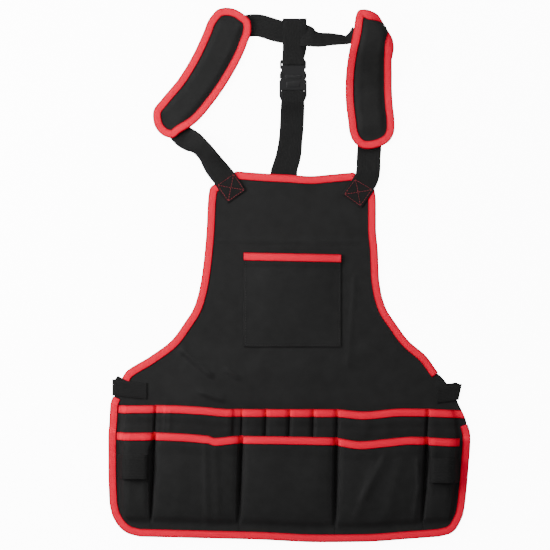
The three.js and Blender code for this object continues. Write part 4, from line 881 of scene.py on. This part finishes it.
# Rows down a pad: down and out in shares of its length, width in shares of its width, slant in degrees,
# lift in shares of its width, how full it is, and how much further its outer edge reaches, in millimetres.
LEFT_PAD = {
    "down": [0.02, 0.04, 0.077, 0.127, 0.227, 0.423, 0.597, 0.738, 0.814, 0.857, 0.882],
    "out": [-0.006, -0.012, -0.025, -0.013, 0.022, 0.117, 0.23, 0.352, 0.436, 0.453, 0.467],
    "width": [0.32, 0.6, 0.85, 0.98, 1.01, 0.985, 0.95, 0.92, 0.77, 0.62, 0.36],
    "slant": [6, 8, 11, 13, 18, 27, 33, 38, 42, 41, 40],
    "lift": [0] * 11,
    "full": [0, 0, 0, 0.7, 1, 1, 1, 0.9, 0, 0, 0],
    "more": [0] * 11,
}
RIGHT_PAD = {
    "down": [
        0.033, 0.043, 0.058, 0.08, 0.119, 0.16, 0.22, 0.295, 0.37, 0.46, 0.565, 0.679, 0.793, 0.867, 0.917,
        0.968,
    ],
    "out": [
        0.014, 0.03, 0.049, 0.063, 0.075, 0.077, 0.069, 0.055, 0.044, 0.036, 0.033, 0.038, 0.051, 0.053,
        0.048, 0.03,
    ],
    "width": [0.3, 0.48, 0.65, 0.79, 0.91, 0.96, 0.99, 1.01, 1.02, 1.03, 1.03, 1.03, 1.02, 0.97, 0.82, 0.38],
    "slant": [-15, -14, -12, -9, -5, -2, 0, 0, 0, 0, 0, 0, 0, 0, 0, 0],
    "lift": [0.44, 0.44, 0.44, 0.44, 0.44, 0.44, 0.43, 0.38, 0.26, 0.13, 0.03, 0, 0, 0, 0, 0],
    "full": [0, 0, 0, 0.2, 0.6, 1, 1, 1, 1, 1, 1, 1, 1, 0.5, 0, 0],
    "more": [0, 2, 4, 5, 3, -1, -5.5, -3.5, -2, 0, 1, 1.5, 1.5, 2, 3, 3],
}
# The right pad's corner: it rolls down past a line across a slanting direction.
ROLL = {"down": 0.06, "slant": 31, "start": 2.6, "radius": 12.5, "angle": 135}
PADS = [
    {"name": "left", "rows": LEFT_PAD, "x": -0.339 * HALF, "top": PAD_TOP, "out": -1, "roll": None},
    {"name": "right", "rows": RIGHT_PAD, "x": 0.411 * HALF, "top": PAD_TOP - 4, "out": 1, "roll": ROLL},
]


def flowing(keys, values, at):
    """A curve through a table's rows: the slope at a row is the mean of its two sides' slopes, each
    weighted by the length of the other side."""
    keys, values = np.asarray(keys, float), np.asarray(values, float)
    step = np.diff(keys)
    rise = np.diff(values) / step
    inner = (rise[:-1] * step[1:] + rise[1:] * step[:-1]) / (step[:-1] + step[1:])
    return cubic(keys, values, np.concatenate([rise[:1], inner, rise[-1:]]), at)


def pad_spot(pad, down, across):
    """A place of the flat pad, from a share of its length and a share of its half width."""
    rows = pad["rows"]
    half = PAD_WIDTH * through(rows["down"], rows["width"], down) / 2 - EDGE_ROOM
    turn = np.radians(through(rows["down"], rows["slant"], down)) * pad["out"]
    out = pad["out"] * flowing(rows["down"], rows["out"], down) * PAD_LENGTH
    more = pad["out"] * through(rows["down"], rows["more"], down) * np.clip(across * pad["out"], 0, 1)
    x = pad["x"] + out + np.cos(turn) * half * across + more
    return x, pad["top"] - down * PAD_LENGTH + np.sin(turn) * half * across


def pad_bend(pad, x, y, height):
    """Where a place of the flat pad really is: lifted, and past the roll's line wrapped round a cylinder."""
    rows = pad["rows"]
    z = height + PAD_WIDTH * through(rows["down"], rows["lift"], (pad["top"] - y) / PAD_LENGTH)
    if not pad["roll"]:
        return np.stack([x, y, z], axis=-1)
    roll = pad["roll"]
    radius, slant = roll["radius"], math.radians(roll["slant"])
    past = (x - pad["x"]) * math.cos(slant) + (y - pad["top"] + roll["down"] * PAD_LENGTH) * math.sin(slant)
    past = np.maximum(0, past - roll["start"])
    full = math.radians(roll["angle"]) * radius
    turn = np.minimum(past, full) / radius
    rest = np.maximum(0, past - full)
    above = height - PAD_UNDER
    reach = radius * np.sin(turn) + rest * np.cos(turn) + above * np.sin(turn)
    drop = radius * (1 - np.cos(turn)) + rest * np.sin(turn) + above * (1 - np.cos(turn))
    shift = reach - past
    return np.stack([x + shift * math.cos(slant), y + shift * math.sin(slant), z - drop], axis=-1)


def pad_faces(pad, down, across):
    """The heights of the pad's upper and lower face before it is lifted: padding that swells inside the sewn
    edge, with a crown and a few soft dents across its upper face."""
    full = through(pad["rows"]["down"], pad["rows"]["full"], down)
    swell = eased((0.72 - abs(across)) / 0.34) * eased(full)
    dents = 0.2 * np.sin(down * 41 + across * 2.2) + 0.14 * np.sin(down * 23 - across * 3.1 + 1)
    crown = 1 + 0.06 * (1 - across**2)
    flat_top = FLANGE_UNDER + FLANGE
    upper = flat_top + (PAD_UNDER + PAD_THICK - flat_top) * swell * crown + dents * swell
    return upper, FLANGE_UNDER + (PAD_UNDER - FLANGE_UNDER) * swell


def pad_cloth(pad):
    """The pad's body: its two faces over one grid of rows and columns, closed round the rim."""
    keys = pad["rows"]["down"]
    down = np.unique(np.concatenate([np.linspace(keys[0], keys[-1], 110), keys]))[:, None]
    across = np.sin(np.linspace(-math.pi / 2, math.pi / 2, 44))[None, :]
    x, y = pad_spot(pad, down, across)
    over, under = (pad_bend(pad, x, y, height + 0 * x) for height in pad_faces(pad, down, across))
    return slab(f"pad_{pad['name']}_cloth", over, under, coated_cloth, np.stack([x, y], axis=-1))


def pad_tape(pad):
    """The tape round the pad's edge, folded over it while flat and then bent as the pad is."""
    rows = np.array(pad["rows"]["down"])
    left, right = (np.stack(pad_spot(pad, rows, edge), axis=1) for edge in (-1.0, 1.0))
    corners = np.concatenate([left, right[::-1]])
    closed = np.concatenate([corners[-3:], corners, corners[:3]])
    keys = walked(closed)
    at = np.linspace(keys[3], keys[-3], 361)[:-1]
    line = np.stack([flowing(keys, closed[:, 0], at), flowing(keys, closed[:, 1], at)], axis=1)
    side = inward_of(line)
    fold = line - side * EDGE_ROOM

    def place(depth):
        """A distance inward from the fold."""
        return fold[:, :1] + side[:, :1] * depth, fold[:, 1:] + side[:, 1:] * depth

    def stack(x, y):
        """The pad's sewn edge, level all round."""
        return FLANGE_UNDER + 0 * x, FLANGE

    def bend(x, y, z):
        """The pad's own lift and roll."""
        return pad_bend(pad, x, y, z)

    name = f"pad_{pad['name']}_tape"
    return tape_piece(name, place, stack, walked(fold), loop=True, gap=PAD_GAP, bend=bend)


for pad in PADS:
    cushion = pad_cloth(pad)
    placed(cushion, "cloth", f"shoulder_pad_{pad['name']}")
    placed(pad_tape(pad), "tape", f"shoulder_pad_{pad['name']}_binding")

# The free webbing: a front strap from each corner of the bib to its pad, and the neck strap from pad to pad.
# They are 36 and 38 mm wide. The left one and the neck strap lean on one edge where they turn.
STRAP_WIDTH = 36.0
# Points along a strap: across in shares of HALF, rise in shares of HARNESS_RISE, roll in degrees and lift in
# millimetres.
STRAPS = {
    "front_strap_left": {
        "across": [
            -0.289, -0.325, -0.36, -0.407, -0.433, -0.457, -0.488, -0.52, -0.552, -0.578, -0.614, -0.672,
        ],
        "rise": [-0.153, -0.096, -0.039, 0.024, 0.066, 0.106, 0.144, 0.173, 0.192, 0.209, 0.248, 0.305],
        "roll": [0, 0, 2, 14, 27, 37, 38, 26, 8, 0, 0, 0],
        "lift": [3.6, 5, 5, 2.6, 1, 0.6, 0.6, 0.4, 0.2, 0, 0, 0],
        "width": STRAP_WIDTH,
    },
    "front_strap_right": {
        "across": [0.344, 0.378, 0.41, 0.43, 0.4365, 0.4385, 0.4425, 0.4455, 0.4455],
        "rise": [-0.18, -0.128, -0.076, -0.03, 0.012, 0.08, 0.14, 0.25, 0.42],
        "roll": [0, 0, 0, 0, 5, 4, 0, 0, 0],
        "lift": [3.6, 5, 5, 5, 3, 0.8, 0, 0, 0],
        "width": 38.4,
    },
    "neck_strap": {
        "across": [
            -0.361, -0.317, -0.283, -0.228, -0.169, -0.122, -0.072, 0.028, 0.094, 0.128, 0.154, 0.228, 0.283,
            0.314, 0.343, 0.378,
        ],
        "rise": [
            0.788, 0.843, 0.865, 0.887, 0.889, 0.875, 0.8575, 0.839, 0.823, 0.806, 0.7995, 0.8005, 0.798,
            0.796, 0.808, 0.83,
        ],
        "roll": [0, 0, 0, 0, 0, 0, 0, 0, 12, 37, 44, 52, 59, 63, 56, 30],
        "lift": [0, 0, 0, 0, 0.4, 1.2, 2, 2, 2, 1.2, 0.4, 0.4, 0.4, 0.6, 1, 4],
        "width": STRAP_WIDTH,
    },
}
STATIONS = 160


def strap_line(rows):
    """The middles, edge directions and face directions of a strap that is laid through a table's rows. A roll
    lifts the edge on its right, and lift is the height of its lower edge."""
    points = [np.array(rows["across"]) * HALF, BIB_TOP + np.array(rows["rise"]) * HARNESS_RISE]
    keys = walked(np.stack(points, axis=1))
    at = np.linspace(0, keys[-1], STATIONS)
    x, y = (flowing(keys, line, at) for line in points)
    roll = np.radians(through(keys, rows["roll"], at))[:, None]
    way = unit(np.stack([np.gradient(x), np.gradient(y)], axis=1))
    flat = np.stack([way[:, 1], -way[:, 0], 0 * x], axis=1)
    up = np.array([0.0, 0.0, 1.0])
    side = flat * np.cos(roll) + up * np.sin(roll)
    face = up * np.cos(roll) - flat * np.sin(roll)
    z = STRAP_WIDTH / 2 * np.abs(np.sin(roll)) + WEBBING_THICK / 2 * np.cos(roll)
    return np.stack([x, y, through(keys, rows["lift"], at) + z[:, 0]], axis=1), side, face


for node, rows in STRAPS.items():
    ribbon_piece(f"{node}_webbing", *strap_line(rows), rows["width"], node)

# The back strap: it hangs from the neck strap in a closed loop that also holds the buckle's plug. Below the
# buckle a doubled length comes out of the socket and goes down behind the bib to the waist belt.
BUCKLE_LENGTH = 65.0
BUCKLE_THICK = 8.0
BUCKLE_WALL = 1.4
BUCKLE_BAR = 6.0
FIT = 0.3
BUCKLE_UNDER = WEBBING_THICK + 2 * FIT
PLUG_THICK = BUCKLE_THICK - 2 * BUCKLE_WALL - 2 * FIT
BUCKLE_MID = BUCKLE_UNDER + BUCKLE_THICK / 2
BUCKLE_FOOT = BIB_TOP + 0.4305 * HARNESS_RISE
BUCKLE_TOP = BUCKLE_FOOT + BUCKLE_LENGTH
SLOT_AT = 14.0
SLOT_CLEAR = 1.65
SLOT_FILL = STRAP_WIDTH - 0.6
BELT_WIDTH = 26.0
# The strap's middle: shares of HARNESS_RISE over the bib's top, and shares of HALF.
BACK_LINE = [
    [-1.3, 0, 0.04, 0.11, 0.18, 0.26, 0.4, 0.92],
    [-0.033, -0.03, -0.0195, -0.003, 0.0055, 0.0125, 0.018, 0.028],
]
# How far the loop's middle is off the buckle's, and over how many millimetres it gets there.
LOOP_OFF, LOOP_OVER = 2.2, 20
# How much thicker the webbing is in a slot, and how much wider away from it and towards the bib: each with
# the distance where that change starts and the stretch that it takes.
BUNCH, BUNCH_FROM, BUNCH_OVER = 1.3, 1.5, 2.5
WIDER, WIDER_FROM, WIDER_OVER = 2.8, 8, 18
BIB_WIDER, BIB_FROM, BIB_OVER = 4.5, 55, 50


def back_x(y):
    """The middle of the back strap at a height."""
    return HALF * through(*BACK_LINE, (y - BIB_TOP) / HARNESS_RISE)


def loop_x(y):
    """The middle of the loop at a height: on the buckle's, and a little to its right farther up."""
    return BUCKLE_X + LOOP_OFF * eased((y - BUCKLE_TOP) / LOOP_OVER)


def rounded(line, steps, loop=False):
    """A line of points with its corners rounded: from the middle of each leg to the middle of the next,
    along a parabola that the corner pulls."""
    line = np.asarray(line, float)
    if loop:
        before, after = (np.roll(line, 1, axis=0) + line) / 2, (line + np.roll(line, -1, axis=0)) / 2
        corners = line
    else:
        before, after = (line[:-2] + line[1:-1]) / 2, (line[1:-1] + line[2:]) / 2
        corners = line[1:-1]
    t = np.linspace(0, 1, steps, endpoint=False)[None, :, None]
    curve = (1 - t) ** 2 * before[:, None] + 2 * t * (1 - t) * corners[:, None] + t**2 * after[:, None]
    curve = curve.reshape(-1, line.shape[1])
    return curve if loop else np.concatenate([line[:1], curve, line[-1:]])


def standing_webbing(node, line, x_at, slot, loop=False):
    """Webbing whose middle runs through heights y, z in a plane, and whose edges point across it. Where it
    turns through a buckle's slot it bunches up and fills it. It is wider away from the slot and towards the
    bib."""
    curve = rounded(line, 7, loop)
    near = np.hypot(curve[:, 0] - slot, curve[:, 1] - BUCKLE_MID)
    thick = WEBBING_THICK + BUNCH * (1 - eased((near - BUNCH_FROM) / BUNCH_OVER))
    at = np.stack([x_at(curve[:, 0]), curve[:, 0], curve[:, 1]], axis=1)
    way = unit(np.roll(at, -1, axis=0) - np.roll(at, 1, axis=0) if loop else np.gradient(at, axis=0))
    side = np.tile([1.0, 0.0, 0.0], (len(at), 1))
    off_slot = WIDER * eased((abs(curve[:, 0] - slot) - WIDER_FROM) / WIDER_OVER)
    by_bib = BIB_WIDER * eased((BIB_TOP + BIB_FROM - curve[:, 0]) / BIB_OVER)
    name = "back_loop_webbing" if loop else f"{node}_webbing"
    ribbon_piece(name, at, side, unit(np.cross(side, way)), SLOT_FILL + off_slot + by_bib, node, loop, thick)


BUCKLE_X = float(back_x(np.array((BUCKLE_FOOT + BUCKLE_TOP) / 2)))
HALF_THICK = WEBBING_THICK / 2
DOUBLE = WEBBING_THICK + GAP + HALF_THICK
loop_top = BIB_TOP + 0.933 * HARNESS_RISE - HALF_THICK
loop_foot = BIB_TOP + 0.848 * HARNESS_RISE - STRAP_WIDTH / 2 - 4
loop_high = 2 * WEBBING_THICK + 2 * GAP + HALF_THICK + 0.6
bar_y = BUCKLE_TOP - BUCKLE_BAR / 2
bar_foot = bar_y - BUCKLE_BAR / 2 - SLOT_CLEAR
bar_climb = PLUG_THICK / 2 + 0.4 + HALF_THICK
bar_over, bar_under = BUCKLE_MID + bar_climb, BUCKLE_MID - bar_climb
loop_line = [
    (loop_top, (loop_high + HALF_THICK) / 2), (loop_top - 0.8, loop_high - 0.6), (loop_top - 3, loop_high),
    (loop_foot, loop_high), ((loop_foot + bar_y) / 2 + 2, DOUBLE + 1.4), (bar_y + 5, bar_over),
    (bar_foot + 0.8, bar_over), (bar_foot, bar_over - 0.8), (bar_foot, bar_under + 0.8),
    (bar_foot + 0.8, bar_under), (bar_y + 4, bar_under), (bar_y + 11, HALF_THICK), (loop_foot, HALF_THICK),
    (loop_top - 0.8, HALF_THICK),
]
standing_webbing("back_strap_loop", loop_line, loop_x, bar_foot, loop=True)
socket_top = BUCKLE_UNDER + BUCKLE_THICK + 0.4 + HALF_THICK
slot_y = BUCKLE_FOOT + SLOT_AT + SLOT_CLEAR
belt_top = float(belt_line(-0.033 * HALF)) + BELT_WIDTH / 2
strap_down = [
    (belt_top - BELT_WIDTH, DOUBLE), (belt_top + 2, DOUBLE), (belt_top + 16, HALF_THICK),
    (BIB_TOP - 60, HALF_THICK), (BIB_TOP - 2, HALF_THICK), (BIB_TOP + 29, HALF_THICK),
    (BUCKLE_FOOT - 70, HALF_THICK), (BUCKLE_FOOT - 58, HALF_THICK), (BUCKLE_FOOT - 44, DOUBLE),
    (BUCKLE_FOOT - 24, DOUBLE), (BUCKLE_FOOT - 3, socket_top - 0.2), (BUCKLE_FOOT + 1, socket_top),
    (slot_y - 0.8, socket_top), (slot_y, socket_top - 0.8), (slot_y, HALF_THICK + 0.9),
    (slot_y - 0.9, HALF_THICK), (BUCKLE_FOOT - 40, HALF_THICK),
]
standing_webbing("back_strap", strap_down, back_x, slot_y)

# The side-release buckle on the back strap and the small one on the belt, in moulded black plastic. The
# first is a flat socket, and a plug whose two arms click into it from above, with low ribs to grip at its
# sides.
SOCKET_LENGTH = BUCKLE_LENGTH * 0.52
SOCKET_FACE = BUCKLE_UNDER + BUCKLE_THICK
PLUG_FACE = BUCKLE_MID + PLUG_THICK / 2
# The raised panels and the grips: name, x off the buckle's middle, y over its foot, face, length, width,
# height.
GRIP_X = 18.4
GRIP_STEP = 2.6
BUCKLE_BARS = [
    ("buckle_face", 0, 25.5, SOCKET_FACE, 22, 9, 0.4),
    ("buckle_bridge", 0, SOCKET_LENGTH + 2.9, PLUG_FACE, 26, 7.4, 0.5),
] + [
    (f"buckle_grip_{k}_{step}", way * GRIP_X, SOCKET_LENGTH + 4 + step * GRIP_STEP, PLUG_FACE, 4.6, 1.3, 0.7)
    for k, way in enumerate((-1, 1)) for step in range(3)
]


def plastic_finish():
    """Black moulded plastic with a fine spark-eroded grain in the bump and the gloss."""
    material, tree, shader = node_material("black_plastic", 0.42, (0.006, 0.006, 0.0065), 0.22)
    place = add_node(tree, "TexCoord")
    grain = add_node(tree, "TexNoise", Scale=900.0, Detail=3.0)
    tree.links.new(place.outputs["Object"], grain.inputs["Vector"])
    relief(tree, shader, grain.outputs["Fac"], 0.12, 0.0002)
    spread(tree, grain.outputs["Fac"], 0.48, 0.6, shader.inputs["Roughness"])
    return material


def rounded_bar(name, x, y, z, length, width, height):
    """A low moulded rib from its middle on the plastic's face: a box whose top is rounded towards its rim,
    by the lesser of two profiles, one along it and one across."""
    u = np.array([-1, -0.96, -0.82, 0, 0.82, 0.96, 1])
    rise = np.array([0, 0.6, 1, 1.04, 1, 0.6, 0])
    gx, gy = np.meshgrid(u, u[::-1])
    px, py = x + gx * length / 2, y + gy * width / 2
    over = np.stack([px, py, z + height * np.minimum(rise[None, :], rise[::-1, None])], axis=-1)
    under = np.stack([px, py, 0 * px + z - 0.4], axis=-1)
    placed(slab(name, over, under, moulded), "plastic")


moulded = plastic_finish()
for node in ("back_buckle_socket", "back_buckle_plug", "waist_buckle"):
    part = bpy.data.objects[node]
    part.data.materials.clear()
    part.data.materials.append(moulded)
    edge = part.modifiers.new("soft_edges", "BEVEL")
    edge.width = 0.45 * MM
    edge.segments = 2
    edge.limit_method = "ANGLE"
for name, x, y, z, length, width, height in BUCKLE_BARS:
    rounded_bar(name, BUCKLE_X + x, BUCKLE_FOOT + y, z, length, width, height)

# The waist belt: 26 mm webbing, sewn to the panel's front at each side, folded round its edge and laid behind
# it to a small hidden buckle.
BELT_ENDS = {
    "waist_belt_left": {"fold": -0.981, "end": -0.789, "down": 0.5925, "sign": -1, "swing": 7.0, "tilt": 0},
    "waist_belt_right": {"fold": 0.947, "end": 0.817, "down": 0.6034, "sign": 1, "swing": 3.0, "tilt": 12},
}
WAIST_BUCKLE_LENGTH = 42.0
for node, belt in BELT_ENDS.items():
    fold, end, sign = belt["fold"] * HALF, belt["end"] * HALF, belt["sign"]
    fold_y, end_y = float(belt_line(fold)), BIB_TOP - APRON_HEIGHT * belt["down"]
    reach = fold - sign * 5
    front_x = np.linspace(end, reach, 30)
    front_y = end_y + (front_x - end) / (fold - end) * (fold_y - end_y)
    over = np.max([panel_top(front_x, front_y + k * BELT_WIDTH / 2) for k in (-1, 0, 1)], axis=0)
    front = np.stack([front_x, front_y, over + GAP + HALF_THICK], axis=1)
    top_z = front[-1, 2]
    turn = [
        (fold - sign * 1.6, fold_y, top_z - 0.3),
        (fold - sign * HALF_THICK, fold_y, (top_z + HALF_THICK) / 2),
        (fold - sign * 1.6, fold_y, HALF_THICK + 0.3),
        (reach, fold_y, HALF_THICK),
    ]
    swing = [(fold - sign * 9, fold_y + belt["swing"], HALF_THICK), (fold - sign * 17, fold_y, HALF_THICK)]
    back_end = WAIST_BUCKLE_X + sign * (WAIST_BUCKLE_LENGTH / 2 + FIT)
    back = [(x, float(belt_line(x)), HALF_THICK) for x in np.linspace(fold - sign * 40, back_end, 6)]
    at = rounded(np.concatenate([front, turn, swing, back]), 5)
    way = unit(np.gradient(at, axis=0))
    tilt = math.radians(belt["tilt"]) * eased(1 - abs(at[:, 0] - fold) / 25)
    side = np.stack([np.sin(tilt), np.cos(tilt), 0 * tilt], axis=1)
    ribbon_piece(f"{node}_webbing", at, side, unit(np.cross(side, way)), BELT_WIDTH, node)

# Stitching that shows: a box with a cross in dull red thread where each front strap is sewn to the bib, and a
# row of black thread along three sides of the chest pocket.
STITCH = 3.2
STITCH_GAP = 0.9
THREAD = 0.34
SUNK = 0.05
BOX_FROM, BOX_TO, BOX_HALF = 2.5, 32.5, 15.4
CHEST_INSET = 3.0
# How far under the patch's top the left and the right row of its stitches start.
LEFT_ROW, RIGHT_ROW = 14, 17


def thread_finish(name, color):
    """Polyester thread: satin, with two twisted plies in the bump."""
    material, tree, shader = node_material(name, 0.6, color, 0.25)
    place = add_node(tree, "TexCoord")
    relief(tree, shader, waves(tree, place.outputs["Object"], "DIAGONAL", 700.0), 0.4, 0.0002)
    return material


def stitched(name, runs, material, slot):
    """Stitches along lines of points on a face: each is a bead of six-sided rings between two places a stitch
    apart, thin at its ends and half sunk in the cloth."""
    starts, ends = [], []
    for run in runs:
        keys = walked(run)
        count = max(1, int(keys[-1] / (STITCH + STITCH_GAP)))
        first = (np.arange(count) + 0.5) * keys[-1] / count - STITCH / 2
        for spots, at in ((starts, first), (ends, first + STITCH)):
            spots.append(np.stack([np.interp(at, keys, run[:, k]) for k in range(3)], axis=1))
    a, b = np.concatenate(starts), np.concatenate(ends)
    way = unit(b - a)
    side = unit(np.cross(way, (0.0, 0.0, 1.0)))
    up = np.cross(side, way)
    share = np.array([0, 0.12, 0.4, 0.6, 0.88, 1])
    radius = THREAD * np.array([0.35, 0.8, 1, 1, 0.8, 0.35])
    angle = np.arange(6) * math.pi / 3
    ring = side[:, None, :] * np.cos(angle)[None, :, None] + up[:, None, :] * np.sin(angle)[None, :, None]
    middle = a[:, None, :] + (b - a)[:, None, :] * share[None, :, None]
    points = middle[:, :, None, :] + ring[:, None, :, :] * radius[None, :, None, None]
    index = np.arange(points[..., 0].size).reshape(points.shape[:3])
    ahead = np.roll(index, -1, axis=2)
    sides = np.stack([index[:, :-1], ahead[:, :-1], ahead[:, 1:], index[:, 1:]], axis=-1).reshape(-1, 4)
    caps = []
    for row, turn in ((index[:, 0], 1), (index[:, -1], -1)):
        for k in (0, 2):
            quad = np.stack([row[:, 0], row[:, k + 1], row[:, k + 2], row[:, (k + 3) % 6]], axis=1)
            caps.append(quad[:, ::-turn])
    placed(put_mesh(name, points.reshape(-1, 3), [sides, *caps], material), slot)


red_thread = thread_finish("dull_red_thread", (0.22, 0.012, 0.022))
black_thread = thread_finish("black_thread", (0.012, 0.012, 0.012))
for node in ("front_strap_left", "front_strap_right"):
    tables = strap_line(STRAPS[node])
    keys = walked(tables[0])

    def on_strap(s, u):
        """Places on the strap's upper face from distances along it and off its middle."""
        spot, edge, out = (
            np.stack([np.interp(s, keys, table[:, k]) for k in range(3)], axis=1) for table in tables
        )
        return spot + edge * u[:, None] + out * (WEBBING_THICK / 2 + SUNK)

    t = np.linspace(0, 1, 24)
    along, back = BOX_FROM + (BOX_TO - BOX_FROM) * t, BOX_TO - (BOX_TO - BOX_FROM) * t
    wide = BOX_HALF * (2 * t - 1)
    lines = [
        on_strap(along, 0 * t - BOX_HALF), on_strap(0 * t + BOX_TO, wide), on_strap(back, 0 * t + BOX_HALF),
        on_strap(0 * t + BOX_FROM, -wide), on_strap(along, wide), on_strap(along, -wide),
    ]
    stitched(f"{node}_box_stitches", lines, red_thread, "webbing")

chest_lines = []
t = np.linspace(0, 1, 60)
for xs, ys in (
    (
        CHEST_X - CHEST_WIDTH / 2 + CHEST_INSET + 0 * t,
        CHEST_TOP - LEFT_ROW - (CHEST_DEPTH - CHEST_INSET - LEFT_ROW) * t,
    ),
    (
        CHEST_X + CHEST_WIDTH / 2 - CHEST_INSET + 0 * t,
        CHEST_TOP - RIGHT_ROW - (CHEST_DEPTH - CHEST_INSET - RIGHT_ROW) * t,
    ),
    (CHEST_X + (CHEST_WIDTH - 2 * CHEST_INSET) * (t - 0.5), CHEST_FOOT + CHEST_INSET + 0 * t),
):
    share = (xs - CHEST_X) / CHEST_WIDTH + 0.5
    chest_lines.append(np.stack([xs, ys, chest_under(xs, ys, share) + CLOTH + SUNK], axis=1))
stitched("chest_pocket_stitches", chest_lines, black_thread, "cloth")
